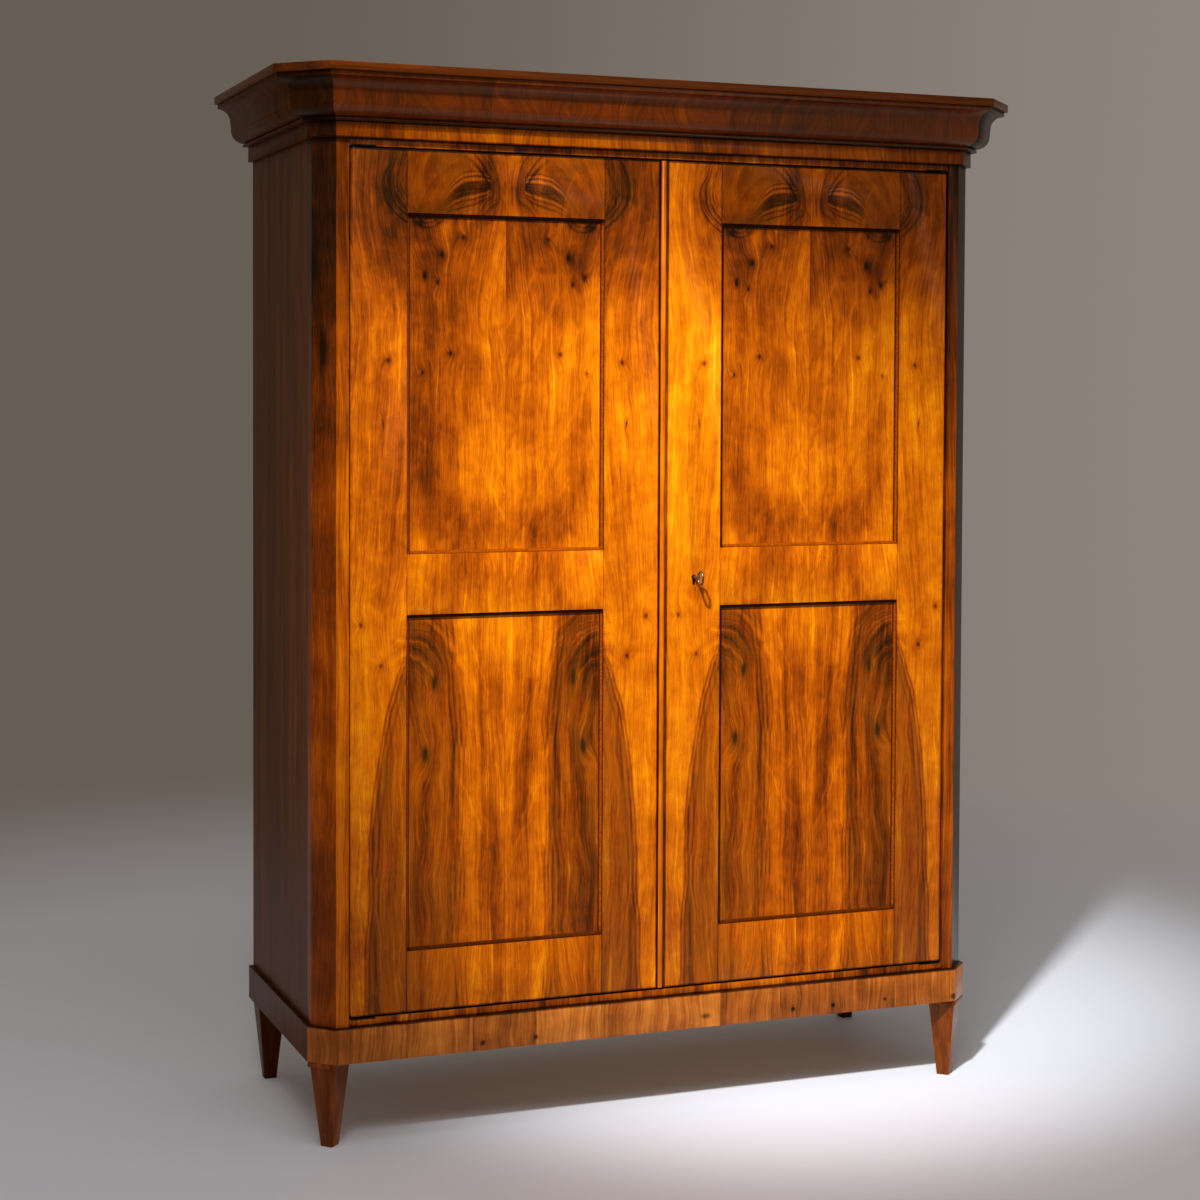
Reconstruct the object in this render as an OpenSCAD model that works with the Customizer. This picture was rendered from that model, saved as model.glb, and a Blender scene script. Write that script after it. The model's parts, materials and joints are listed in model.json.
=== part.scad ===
// Linen cupboard with two doors on tapered feet, in veneered walnut.
// Millimetres, +Z up, the front looks along -Y, origin under the middle of the overall box.

/* [Carcase] */
// Width across the two side boards
body_w = 1444; // [1240:4:1640]
// Depth from the door faces to the back
body_d = 550; // [460:5:640]
// Height from the floor to the top of the cap
total_h = 2100; // [1980:10:2200]
// Width of each cut-off front corner, measured along the front
chamfer = 40; // [30:1:50]
// Front strip of the corner post beside the door
stile_w = 25; // [20:1:35]
// Depth of the corner post
post_d = 70; // [64:1:85]
// Thickness of the side boards, the top board and the bottom board
board_t = 20; // [16:1:24]

/* [Base] */
// Height of the feet
foot_h = 169; // [140:1:190]
// Side of the square foot at its top
foot_top_w = 58; // [48:1:62]
// Side of the square foot at the floor
foot_toe_w = 26; // [20:1:36]
// Height of the collar at the top of a front foot
collar_h = 10; // [6:1:14]
// How far the collar stands out all round
collar_out = 3; // [1:0.5:5]
// How far a back foot stays inside the plinth's side face
foot_side_in = 9; // [4:1:14]
// How far a back foot stays inside the back
foot_back_in = 1; // [0.5:0.5:6]
// Radius of the dowel that holds a foot
dowel_r = 8; // [6:0.5:9]
// Length of the dowel that holds a foot
dowel_len = 45; // [30:1:55]
// Height of the plinth band
plinth_h = 70; // [60:1:90]
// Thickness of the plinth band
plinth_t = 22; // [18:1:26]
// How far the plinth stands out from the carcase
plinth_out = 10; // [6:1:14]
// Side of the blocks in the plinth corners
block_w = 90; // [75:1:110]

/* [Cornice] */
// Height of the cap strip
cap_h = 16; // [12:1:22]
// How far the cap stands out from the carcase
cap_out = 83; // [80:1:95]
// Height of the crown under the cap
crown_h = 87.3; // [80:0.1:95]
// How far the cornice pieces reach in over the carcase
crown_in = 40; // [30:1:50]
// Height of the lip above the hollow of the crown
lip_h = 9; // [6:0.5:10]
// Radius of the hollow and of the swell of the crown
ogee_r = 27; // [22:0.5:28]
// How far the waist between swell and hollow stands out at its foot
waist_out = 47; // [44:1:50]
// Lean of the waist, in degrees
waist_lean = 5; // [0:1:8]
// Height of the quirk under the swell
quirk_h = 2; // [1:0.5:3]
// Depth of the quirk behind the bed fillet
quirk_d = 4.5; // [3:0.5:7]
// Height of the bed fillet
bed_h = 5.5; // [4:0.5:8]
// How far the bed fillet stands out
bed_out = 21.5; // [18:0.5:26]
// Height of the frieze band
frieze_h = 31.5; // [25:0.5:40]
// Thickness of the frieze band
frieze_t = 10; // [6:1:14]
// Thickness of the dust board in the cornice
dust_t = 14; // [10:1:18]

/* [Doors] */
// Thickness of the door frames
door_t = 28; // [26:1:32]
// Gap above and below the doors
door_gap = 4; // [3:0.5:6]
// Gap between the hinge edge of a door and its post
hinge_gap = 1.5; // [1:0.1:3]
// Gap where the two doors meet
meet_gap = 2; // [1.5:0.1:3]
// Width of the hinge stile
hinge_stile_w = 114.5; // [100:0.5:130]
// Width of the lock stile
lock_stile_w = 120; // [112:1:132]
// Height of the bottom rail of a door
low_rail_h = 120; // [100:1:140]
// Height of the middle rail of a door
mid_rail_h = 119; // [100:1:140]
// Height of the top rail of a door
top_rail_h = 122; // [100:1:140]
// How far the panels lie behind the frames
panel_set = 9; // [6:0.5:9]
// Thickness of the panels
panel_t = 12; // [10:0.5:14]
// Depth of the groove that holds the panels
groove_d = 8; // [6:0.5:12]
// Expansion room at each edge of a panel
panel_room = 1; // [0.5:0.1:1.5]
// Length of the rail tenons
tenon_len = 28; // [20:1:30]
// How far the tenon stays inside the rail's top and bottom
tenon_in = 20; // [12:1:30]
// Width of the moulding round the panels
mould_w = 6.5; // [5:0.5:8]
// How far the moulding stays behind the frames
mould_set = 1.5; // [0.5:0.5:2.5]
// Width of the bead on the meeting edge
bead_w = 14; // [12:0.5:18]
// How far the bead stands proud of the doors
bead_proud = 2; // [1:0.5:3]
// Depth of the quirk beside the bead
bead_quirk_d = 3; // [2:0.5:4]

/* [Rails] */
// Height of the visible rail under the doors
sill_h = 15; // [13:0.5:20]
// Height of the visible rail over the doors
head_h = 14; // [13:0.5:20]
// How far the two rails lie behind the posts
rail_set = 2; // [0:0.5:3]
// How far the stops overlap the doors
stop_lap = 8; // [6:0.5:12]
// Thickness of the stops
stop_t = 16; // [14:1:20]
// Clearance between a closed door and its stops
stop_gap = 0.5; // [0.3:0.1:1]
// Distance from each post to the end of a stop
stop_relief = 40; // [35:1:60]
// Clearance between a stop and the keeper of a slide bolt
stop_fit = 0.5; // [0.2:0.1:1]

/* [Pivots] */
// Distance of the pivot from the door's edge and from its face
pivot_in = 9; // [8:0.5:10]
// Radius of the pivot pins
pin_r = 4; // [3:0.25:4.5]
// Running clearance of the pins, on the radius
pin_fit = 0.05; // [0.03:0.01:0.08]
// How far a pin enters its socket
pin_deep = 7; // [5:0.5:9]
// Radius of the shoulder round a pin
shoulder_r = 6.5; // [5.5:0.25:7]
// Clearance between the shoulder and the socket plate
shoulder_gap = 0.3; // [0.2:0.05:0.5]
// Length of a pivot plate
plate_len = 50; // [40:1:60]
// Width of a pivot plate
plate_w = 14; // [12.5:0.5:14]
// Thickness of a pivot plate
plate_t = 3; // [2:0.25:4]

/* [Interior] */
// Number of shelves
shelf_n = 4;
// Thickness of the shelves
shelf_t = 22; // [18:1:26]
// Side of the battens under the shelves
batten_w = 20; // [16:1:26]
// Clearance of a shelf at its sides and its back
shelf_gap = 1; // [0.5:0.1:2]
// Thickness of the framed back
back_t = 20; // [16:1:24]
// Width of the stiles and rails of the back
back_stile_w = 95; // [70:1:120]
// Thickness of the panels of the back
back_panel_t = 9; // [7:0.5:11]

/* [Lock] */
// Height of the key above the floor
lock_z = 1100; // [1060:1:1140]
// Distance of the key from the middle of the cupboard
key_x = 70; // [66:1:76]
// Width of the lock case
case_w = 90; // [84:1:92]
// Height of the lock case
case_h = 76; // [70:1:84]
// Depth of the lock case
case_d = 14; // [13:0.5:15]
// Wall of the lock case
case_wall = 1.5; // [1:0.25:2]
// Radius of the key's shank
shank_r = 3; // [2.5:0.1:3.2]
// Clearance of the shank in the lock case, on the radius
shank_fit = 0.08; // [0.05:0.01:0.1]
// Radius of the round part of the keyhole in the wood
hole_r = 5; // [4.5:0.1:5.5]
// Width of the keyhole's slot
slot_w = 5.5; // [5:0.1:6]
// How far the keyhole's slot reaches under the shank
slot_low = 16; // [15:0.5:18]
// Distance of the bow's middle from the door face
bow_out = 36; // [30:0.5:38]
// Radius of the two round ends of the bow
bow_r = 11; // [9:0.5:12]
// Distance between the two round ends of the bow
bow_len = 4; // [2:0.5:8]
// Radius of the bar that the bow is made of
bow_bar_r = 2.2; // [1.8:0.1:2.6]
// Thickness of the key's bit
bit_t = 3.5; // [3:0.1:4]
// Length of the bit along the key
bit_len = 8; // [6:0.5:8.5]
// Reach of the bit from the key's axis
bit_out = 13.5; // [12:0.5:14]
// Height of the bolt
bolt_h = 12; // [10:0.5:13]
// Thickness of the bolt
bolt_t = 8; // [6:0.5:8.5]
// Wall of the staple that takes the bolt
catch_wall = 2.5; // [2:0.25:3]
// Reach of the staple beyond the thrown bolt
catch_room = 2; // [1:0.5:4]
// Height of the staple's screw plates
catch_plate_h = 14; // [12:1:18]
// Distance of the bolt over the key's axis
bolt_up = 18; // [17:0.5:19]
// Depth of the talons under the bolt
talon_h = 3; // [2:0.25:3]
// Travel of the bolt
bolt_travel = 12; // [8:0.5:13]
// Clearance round the bolt
bolt_gap = 0.5; // [0.3:0.1:1]

/* [Slide bolts] */
// Distance of the slide bolts from the middle of the cupboard
slide_x = 60; // [45:1:85]
// Radius of the slide bolts
slide_r = 4; // [3:0.25:4.5]
// Length of the slide bolts
slide_len = 150; // [120:1:180]
// Travel of the slide bolts
slide_travel = 12; // [10:0.5:13]
// Clearance of the slide bolts, on the radius
slide_fit = 0.08; // [0.05:0.01:0.1]
// Clearance between a slide bolt and its keeper at rest
slide_rest = 2; // [1:0.25:3]
// Width of the plates and staples
staple_w = 20; // [16:1:24]
// Height of a staple
staple_h = 10; // [8:0.5:12]
// Thickness of the plate that the staples stand on
slide_plate_t = 2; // [1.5:0.25:2.5]
// Wall of a staple outside the bolt
staple_wall = 2; // [1.5:0.25:3]
// Thickness of the keepers' plates
keeper_t = 1; // [0.75:0.05:1.2]
// Length of the thumb knob
thumb_len = 9; // [6:0.5:12]
// Radius of the thumb knob
thumb_r = 4; // [3:0.25:5]

/* [Hidden] */
$fn = 48;
walnut = [0.66, 0.34, 0.09];
walnut_dark = [0.42, 0.20, 0.07];
walnut_side = [0.30, 0.19, 0.12];
softwood = [0.74, 0.57, 0.36];
iron = [0.36, 0.35, 0.35];
// Overrun that lets cuts pass through faces
over = 1;
// A mitred corner of an eighth of a turn takes this share of an offset
mitre_share = tan(22.5);
// Places in plan
half_w = body_w / 2;
front_y = (cap_out - body_d) / 2;
back_y = front_y + body_d;
open_x = half_w - chamfer - stile_w;
inner_x = half_w - board_t;
post_back_y = front_y + post_d;
door_back_y = front_y + door_t;
stop_y = door_back_y + stop_gap;
stop_back_y = stop_y + stop_t;
stop_x = open_x - stop_relief;
back_face_y = back_y - back_t;
// Levels
plinth_z = foot_h;
deck_z = plinth_z + plinth_h;
sill_z = deck_z + sill_h;
door_z = sill_z + door_gap;
cap_z = total_h - cap_h;
crown_z = cap_z - crown_h;
waist_h = crown_h - bed_h - quirk_h - 2 * ogee_r * (1 - sin(waist_lean)) - lip_h;
frieze_z = crown_z - frieze_h;
head_z = frieze_z - head_h;
door_top_z = head_z - door_gap;
shelf_room = crown_z - board_t - deck_z - board_t;
shelf_step = (shelf_room - shelf_n * shelf_t) / (shelf_n + 1) + shelf_t;
// Doors, written for the left one
edge_x = -(open_x - hinge_gap);
hinge_in_x = edge_x + hinge_stile_w;
lock_in_x = -(bead_w / 2 + meet_gap + lock_stile_w);
pivot_x = edge_x + pivot_in;
pivot_y = front_y + pivot_in;
low_z = door_z + low_rail_h;
mid_z = lock_z - mid_rail_h / 2;
high_z = lock_z + mid_rail_h / 2;
top_z = door_top_z - top_rail_h;
groove_y = front_y + panel_set;
groove_back_y = groove_y + panel_t;
// Feet
front_foot_x = half_w - chamfer + plinth_out * mitre_share;
front_foot_y = front_y - plinth_out + (foot_top_w + collar_out + collar_out) / sqrt(2);
back_foot_x = half_w + plinth_out - foot_side_in - foot_top_w / 2;
back_foot_y = back_y - foot_back_in - foot_top_w / 2;
sole_h = 2;
// Lock
case_x = bead_w / 2;
case_y = door_back_y;
case_z = lock_z - case_h / 2;
inside_y = case_y + case_wall;
bolt_z = lock_z + bolt_up;
bolt_y = inside_y + case_wall;
bolt_tail_x = key_x + bit_out;
bolt_tip_x = -bead_w / 2 + bolt_gap;
catch_x = -bead_w / 2 - meet_gap - bolt_gap;
catch_end_x = bolt_tip_x - bolt_travel - catch_room;
// Slide bolts
slide_y = door_back_y + staple_wall + slide_r + slide_fit;
staple_d = 2 * (slide_r + slide_fit + staple_wall);
staple_share = 0.24;
slide_reach = stop_lap + slide_rest;
thumb_z = slide_len * staple_share + staple_h + slide_travel + thumb_r + bolt_gap;
keeper_in = slide_r + bolt_gap;
keeper_out = keeper_in + keeper_t;

// A block from corner a to corner b
module block(a, b) translate(a) cube(b - a);

// The children as they are on the left, or mirrored to the right
module hand(side) {
    if (side < 0) children();
    else mirror([1, 0, 0]) children();
}

// Corners of the carcase's outline on the left, moved out by e
function back_pt(e) = [-(half_w + e), back_y];
function side_pt(e) = [-(half_w + e), front_y + chamfer - e * mitre_share];
function front_pt(e) = [-(half_w - chamfer + e * mitre_share), front_y - e];
function flip(p) = [-p[0], p[1]];

// Mitred strips of the outline, between the offsets a inside and b outside
module side_strip(a, b) polygon([back_pt(a), back_pt(b), side_pt(b), side_pt(a)]);
module corner_strip(a, b) polygon([side_pt(a), side_pt(b), front_pt(b), front_pt(a)]);
module front_strip(a, b) polygon([front_pt(a), front_pt(b), flip(front_pt(b)), flip(front_pt(a))]);

// Feet: a square taper on a short straight sole, with a dowel on top
module taper(turn) {
    rotate([0, 0, turn]) {
        translate([0, 0, sole_h])
            cylinder(h = foot_h - sole_h, r1 = foot_toe_w / sqrt(2), r2 = foot_top_w / sqrt(2), $fn = 4);
        cylinder(h = sole_h, r = foot_toe_w / sqrt(2), $fn = 4);
    }
    translate([0, 0, foot_h]) cylinder(h = dowel_len, r = dowel_r);
}
module front_foot(side) color(walnut_dark) hand(side) translate([-front_foot_x, front_foot_y, 0]) {
    taper(0);
    translate([0, 0, foot_h - collar_h])
        cylinder(h = collar_h, r = (foot_top_w + 2 * collar_out) / sqrt(2), $fn = 4);
}
module back_foot(side) color(walnut_dark) hand(side) translate([-back_foot_x, back_foot_y, 0]) taper(45);

// Plinth
module plinth_run() translate([0, 0, plinth_z]) linear_extrude(plinth_h) children();
module plinth_front() color(walnut) plinth_run() front_strip(plinth_out - plinth_t, plinth_out);
module plinth_sides() color(walnut_side) for (side = [-1, 1])
    hand(side) plinth_run() side_strip(plinth_out - plinth_t, plinth_out);
module plinth_corners() color(walnut) for (side = [-1, 1])
    hand(side) plinth_run() corner_strip(plinth_out - plinth_t, plinth_out);
module plinth_back() color(softwood) {
    x = half_w + plinth_out - plinth_t;
    block([-x, back_y - plinth_t, plinth_z], [x, back_y, deck_z]);
}
module corner_blocks() color(softwood) for (side = [-1, 1]) hand(side) {
    e = plinth_out - plinth_t;
    x = side_pt(e)[0];
    y = front_pt(e)[1];
    difference() {
        plinth_run() polygon([side_pt(e), front_pt(e), [x + block_w, y],
            [x + block_w, y + block_w], [x, y + block_w]]);
        translate([-front_foot_x, front_foot_y, plinth_z]) cylinder(h = dowel_len, r = dowel_r);
    }
    difference() {
        block([x, back_y - plinth_t - block_w, plinth_z], [x + block_w, back_y - plinth_t, deck_z]);
        translate([-back_foot_x, back_foot_y, plinth_z]) cylinder(h = dowel_len, r = dowel_r);
    }
}

// Carcase
module deck(z) {
    block([-open_x, stop_back_y, z], [open_x, post_back_y, z + board_t]);
    block([-inner_x, post_back_y, z], [inner_x, back_face_y, z + board_t]);
}
module bottom_board() color(softwood) deck(deck_z);
module top_board() color(softwood) deck(crown_z - board_t);
module side_board(side) color(walnut_side) hand(side)
    block([-half_w, post_back_y, deck_z], [-inner_x, back_y, crown_z]);
module corner_post(side) color(walnut) hand(side) translate([0, 0, deck_z]) linear_extrude(crown_z - deck_z)
    polygon([side_pt(0), front_pt(0), [-open_x, front_y], [-open_x, post_back_y], [-half_w, post_back_y]]);

// Socket of a pivot: a pocket for the plate and a hole for the pin, upwards from z
module socket_cut(side) hand(side) translate([pivot_x, pivot_y, 0]) {
    block([-plate_w / 2, -plate_w / 2, -over], [plate_len - plate_w / 2, plate_w / 2, plate_t]);
    cylinder(h = pin_deep + over, r = pin_r + over);
}
module sockets_cut(z, up) translate([0, 0, z]) mirror([0, 0, up ? 0 : 1])
    for (side = [-1, 1]) socket_cut(side);
module bottom_rail() color(walnut) difference() {
    block([-open_x, front_y + rail_set, deck_z], [open_x, stop_back_y, sill_z]);
    sockets_cut(sill_z, false);
}
module top_rail() color(walnut) difference() {
    block([-open_x, front_y + rail_set, head_z], [open_x, stop_back_y, crown_z]);
    sockets_cut(head_z, true);
}
// What stands on the bottom rail and, turned over, hangs from the top rail; z 0 is the rail's face
module at_rail(up) translate([0, 0, up ? head_z : sill_z]) mirror([0, 0, up ? 1 : 0]) children();
module door_stops() color(walnut) for (up = [false, true]) at_rail(up) {
    block([-stop_x, stop_y, 0], [-slide_x - keeper_out - stop_fit, stop_back_y, door_gap + stop_lap]);
    block([keeper_out + stop_fit - slide_x, stop_y, 0], [stop_x, stop_back_y, door_gap + stop_lap]);
}
// Iron channels in the stops that hold the ends of the slide bolts
module bolt_keepers() color(iron) for (up = [false, true])
    at_rail(up) translate([-slide_x, slide_y, 0]) difference() {
        block([-keeper_out, -keeper_out, 0], [keeper_out, stop_back_y - slide_y, door_gap + stop_lap]);
        block([-keeper_in, -keeper_in, keeper_t],
            [keeper_in, stop_back_y - slide_y + over, door_gap + stop_lap + over]);
    }
module pivot_sockets() color(iron) for (side = [-1, 1], up = [false, true])
    translate([0, 0, up ? head_z : sill_z]) mirror([0, 0, up ? 0 : 1]) hand(side)
        translate([pivot_x, pivot_y, 0]) difference() {
            block([-plate_w / 2, -plate_w / 2, 0], [plate_len - plate_w / 2, plate_w / 2, plate_t]);
            translate([0, 0, -over]) cylinder(h = plate_t + 2 * over, r = pin_r + pin_fit);
        }

// Framed back with two panels
back_low_z = deck_z + back_stile_w;
back_high_z = crown_z - back_stile_w;
back_groove_y = back_face_y + (back_t - back_panel_t) / 2;
module back_groove(a, b) block([a[0], back_groove_y, a[1]], [b[0], back_groove_y + back_panel_t, b[1]]);
module back_stile(x) {
    low = back_low_z - groove_d;
    high = back_high_z + groove_d;
    x2 = x + back_stile_w;
    difference() {
        block([x, back_face_y, deck_z], [x2, back_y, crown_z]);
        if (x > -inner_x) back_groove([x - over, low], [x + groove_d, high]);
        if (x2 < inner_x) back_groove([x2 - groove_d, low], [x2 + over, high]);
    }
}
module back_stiles() color(softwood) {
    back_stile(-inner_x);
    back_stile(-back_stile_w / 2);
    back_stile(inner_x - back_stile_w);
}
module back_rails() color(softwood) for (side = [-1, 1], high = [false, true]) hand(side) difference() {
    a = -inner_x + back_stile_w;
    b = -back_stile_w / 2;
    z = high ? back_high_z : deck_z;
    block([a, back_face_y, z], [b, back_y, z + back_stile_w]);
    if (high) back_groove([a - over, z - over], [b + over, z + groove_d]);
    else back_groove([a - over, back_low_z - groove_d], [b + over, back_low_z + over]);
}
module back_panels() color(softwood) for (side = [-1, 1]) hand(side) {
    e = groove_d - panel_room;
    back_groove([-inner_x + back_stile_w - e, back_low_z - e], [-back_stile_w / 2 + e, back_high_z + e]);
}

// Frieze, crown and cap
module frieze_run() translate([0, 0, frieze_z]) linear_extrude(frieze_h) children();
module frieze_front() color(walnut) frieze_run() front_strip(0, frieze_t);
module frieze_sides() color(walnut_side) for (side = [-1, 1]) hand(side) frieze_run() side_strip(0, frieze_t);
module frieze_corners() color(walnut) for (side = [-1, 1]) hand(side) frieze_run() corner_strip(0, frieze_t);

// Section of the crown: bed fillet, quirk, swell, leaning waist, hollow and lip, with outward along x
module crown_section() {
    normal = [cos(waist_lean), -sin(waist_lean)];
    waist_low = [waist_out, bed_h + quirk_h + ogee_r * (1 - sin(waist_lean))];
    waist_high = waist_low + waist_h * [tan(waist_lean), 1];
    swell = waist_low - ogee_r * normal;
    hollow = waist_high + ogee_r * normal;
    translate([-crown_in, 0]) {
        square([crown_in + bed_out, bed_h]);
        square([crown_in + bed_out - quirk_d, crown_h]);
        translate([0, crown_h - lip_h]) square([crown_in + hollow[0], lip_h]);
    }
    intersection() {
        translate(swell) circle(r = ogee_r);
        translate([0, bed_h]) square([waist_out + ogee_r, waist_low[1] - bed_h]);
    }
    polygon([[0, waist_low[1]], waist_low, waist_high, [0, waist_high[1]]]);
    difference() {
        translate([0, waist_high[1]]) square([hollow[0], crown_h - lip_h - waist_high[1]]);
        translate(hollow) circle(r = ogee_r);
    }
}
// A length of crown through point p, with its outward side turned by an angle
module crown_bar(p, turn) translate([p[0], p[1], crown_z]) rotate([0, 0, turn]) rotate([90, 0, 0])
    translate([0, 0, -body_w]) linear_extrude(2 * body_w) crown_section();
module crown_cut() translate([0, 0, crown_z]) linear_extrude(crown_h) children();
module crown_front() color(walnut) intersection() {
    crown_bar([0, front_y], -90);
    crown_cut() front_strip(-crown_in, cap_out);
}
module crown_side(side) color(walnut_side) hand(side) intersection() {
    crown_bar([-half_w, 0], 180);
    crown_cut() side_strip(-crown_in, cap_out);
}
module crown_corners() color(walnut) for (side = [-1, 1]) hand(side) intersection() {
    crown_bar((side_pt(0) + front_pt(0)) / 2, 225);
    crown_cut() corner_strip(-crown_in, cap_out);
}
module cap_run() translate([0, 0, cap_z]) linear_extrude(cap_h) children();
module cap_strips() color(walnut_dark) {
    cap_run() front_strip(-crown_in, cap_out);
    for (side = [-1, 1]) hand(side) {
        cap_run() side_strip(-crown_in, cap_out);
        cap_run() corner_strip(-crown_in, cap_out);
    }
    block([crown_in - half_w, back_y - crown_in, cap_z], [half_w - crown_in, back_y, total_h]);
}
module cornice_back() color(softwood)
    block([crown_in - half_w, back_y - board_t, crown_z], [half_w - crown_in, back_y, cap_z]);
module dust_board() color(softwood) translate([0, 0, cap_z - dust_t]) linear_extrude(dust_t) {
    left = [[crown_in - half_w, back_y - board_t], side_pt(-crown_in), front_pt(-crown_in)];
    polygon(concat(left, [for (i = [2 : -1 : 0]) flip(left[i])]));
}

// Shelves on battens
module shelf(i) color(softwood) {
    x = inner_x - shelf_gap;
    z = deck_z + board_t + i * shelf_step - shelf_t;
    block([-x, post_back_y + shelf_gap, z], [x, back_face_y - shelf_gap, z + shelf_t]);
}
module shelf_battens() color(softwood) for (side = [-1, 1], i = [1 : shelf_n]) hand(side) {
    z = deck_z + board_t + i * shelf_step - shelf_t;
    block([-inner_x, post_back_y + batten_w, z - batten_w], [batten_w - inner_x, back_face_y - batten_w, z]);
}

// Door frames: every stile runs the full height, with a groove, and mortises for the rails
rail_low_zs = [door_z, mid_z, top_z];
rail_top_zs = [low_z, high_z, door_top_z];
module stile_cuts(x, inward) {
    g = inward > 0 ? [x - groove_d, x + over] : [x - over, x + groove_d];
    m = inward > 0 ? [x - tenon_len, x + over] : [x - over, x + tenon_len];
    block([g[0], groove_y, door_z - over], [g[1], groove_back_y, door_top_z + over]);
    for (i = [0 : 2])
        block([m[0], groove_y, rail_low_zs[i] + tenon_in], [m[1], groove_back_y, rail_top_zs[i] - tenon_in]);
}
module pivot_at(up) translate([pivot_x, pivot_y, up ? door_top_z : door_z])
    mirror([0, 0, up ? 1 : 0]) children();
module hinge_stile(side) color(walnut) hand(side) difference() {
    translate([0, 0, door_z]) linear_extrude(door_top_z - door_z) {
        translate([edge_x, pivot_y]) square([hinge_stile_w, door_t - pivot_in]);
        translate([pivot_x, front_y]) square([hinge_stile_w - pivot_in, door_t]);
        translate([pivot_x, pivot_y]) circle(r = pivot_in);
    }
    stile_cuts(hinge_in_x, 1);
    for (up = [false, true]) pivot_at(up)
        block([-plate_w / 2, -plate_w / 2, -over], [plate_len - plate_w / 2, plate_w / 2, plate_t]);
}
// Room for the bolt between two places along the front
module bolt_way(x0, x1) block([x0, bolt_y - bolt_gap, bolt_z - bolt_gap],
    [x1, bolt_y + bolt_t + bolt_gap, bolt_z + bolt_h + bolt_gap]);
module lock_stile_left() color(walnut) difference() {
    block([lock_in_x, front_y, door_z], [lock_in_x + lock_stile_w, door_back_y, door_top_z]);
    stile_cuts(lock_in_x, -1);
    for (up = [false, true]) slide_plate_at(up)
        block([-staple_w / 2, -slide_plate_t, 0], [staple_w / 2, over, slide_len]);
}
module lock_stile_right() color(walnut) difference() {
    mirror([1, 0, 0]) difference() {
        block([lock_in_x, front_y, door_z], [-bead_w / 2, door_back_y, door_top_z]);
        stile_cuts(lock_in_x, -1);
    }
    block([bead_w / 2 - over, front_y - over, door_z - over],
        [bead_w / 2 + meet_gap, front_y + bead_quirk_d, door_top_z + over]);
    keyhole(front_y - over, door_back_y + over, hole_r, slot_w, slot_low);
}
module keyhole(y0, y1, r, w, low) {
    translate([key_x, y0, lock_z]) rotate([-90, 0, 0]) cylinder(h = y1 - y0, r = r);
    block([key_x - w / 2, y0, lock_z - low], [key_x + w / 2, y1, lock_z]);
}
module rails(side) color(walnut) hand(side) for (i = [0 : 2]) difference() {
    union() {
        block([hinge_in_x, front_y, rail_low_zs[i]], [lock_in_x, door_back_y, rail_top_zs[i]]);
        block([hinge_in_x - groove_d, groove_y, rail_low_zs[i]],
            [lock_in_x + groove_d, groove_back_y, rail_top_zs[i]]);
        block([hinge_in_x - tenon_len, groove_y, rail_low_zs[i] + tenon_in],
            [lock_in_x + tenon_len, groove_back_y, rail_top_zs[i] - tenon_in]);
    }
    a = hinge_in_x - groove_d - over;
    b = lock_in_x + groove_d + over;
    if (i > 0) block([a, groove_y, rail_low_zs[i] - over], [b, groove_back_y, rail_low_zs[i] + groove_d]);
    if (i < 2) block([a, groove_y, rail_top_zs[i] - groove_d], [b, groove_back_y, rail_top_zs[i] + over]);
}
module panel(side, low, high) color(walnut) hand(side) {
    e = groove_d - panel_room;
    block([hinge_in_x - e, groove_y, low - e], [lock_in_x + e, groove_back_y, high + e]);
}
// A moulding strip along the left edge of an opening from corner a to corner b, mitred at both ends
module mould_strip(a, b) intersection() {
    high = panel_set - mould_set;
    translate([a[0], groove_y, a[1]]) linear_extrude(b[1] - a[1]) mirror([0, 1, 0]) {
        square([mould_w, high - mould_w]);
        intersection() {
            translate([0, high - mould_w]) circle(r = mould_w);
            translate([0, high - mould_w - over]) square([mould_w, mould_w + over]);
        }
    }
    translate([0, groove_y, 0]) rotate([90, 0, 0]) linear_extrude(high)
        polygon([a, [a[0] + mould_w, a[1] + mould_w], [a[0] + mould_w, b[1] - mould_w], [a[0], b[1]]]);
}
// Four mitred strips round an opening
module mould_frame(low, high) {
    w = lock_in_x - hinge_in_x;
    mid = [hinge_in_x + w / 2, (low + high) / 2];
    sizes = [[w, high - low], [high - low, w]];
    for (i = [0 : 3]) translate([mid[0], 0, mid[1]]) rotate([0, 90 * i, 0])
        mould_strip(-sizes[i % 2] / 2, sizes[i % 2] / 2);
}
module panel_mouldings(side) color(walnut_dark) hand(side) {
    mould_frame(low_z, mid_z);
    mould_frame(high_z, top_z);
}
module meeting_bead() color(walnut) translate([0, 0, door_z]) linear_extrude(door_top_z - door_z) {
    round_r = bead_w / 2;
    translate([-round_r, front_y + round_r - bead_proud]) square([bead_w, door_t - round_r + bead_proud]);
    translate([0, front_y + round_r - bead_proud]) circle(r = round_r);
}

// Pivot plates of a door: a let-in plate with a shoulder and a pin
module pivot_pins(side) color(iron) hand(side) for (up = [false, true]) pivot_at(up) {
    block([-plate_w / 2, -plate_w / 2, 0], [plate_len - plate_w / 2, plate_w / 2, plate_t]);
    translate([0, 0, shoulder_gap - door_gap]) cylinder(h = door_gap - shoulder_gap, r = shoulder_r);
    translate([0, 0, -door_gap - pin_deep]) cylinder(h = door_gap + pin_deep, r = pin_r);
}

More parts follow.
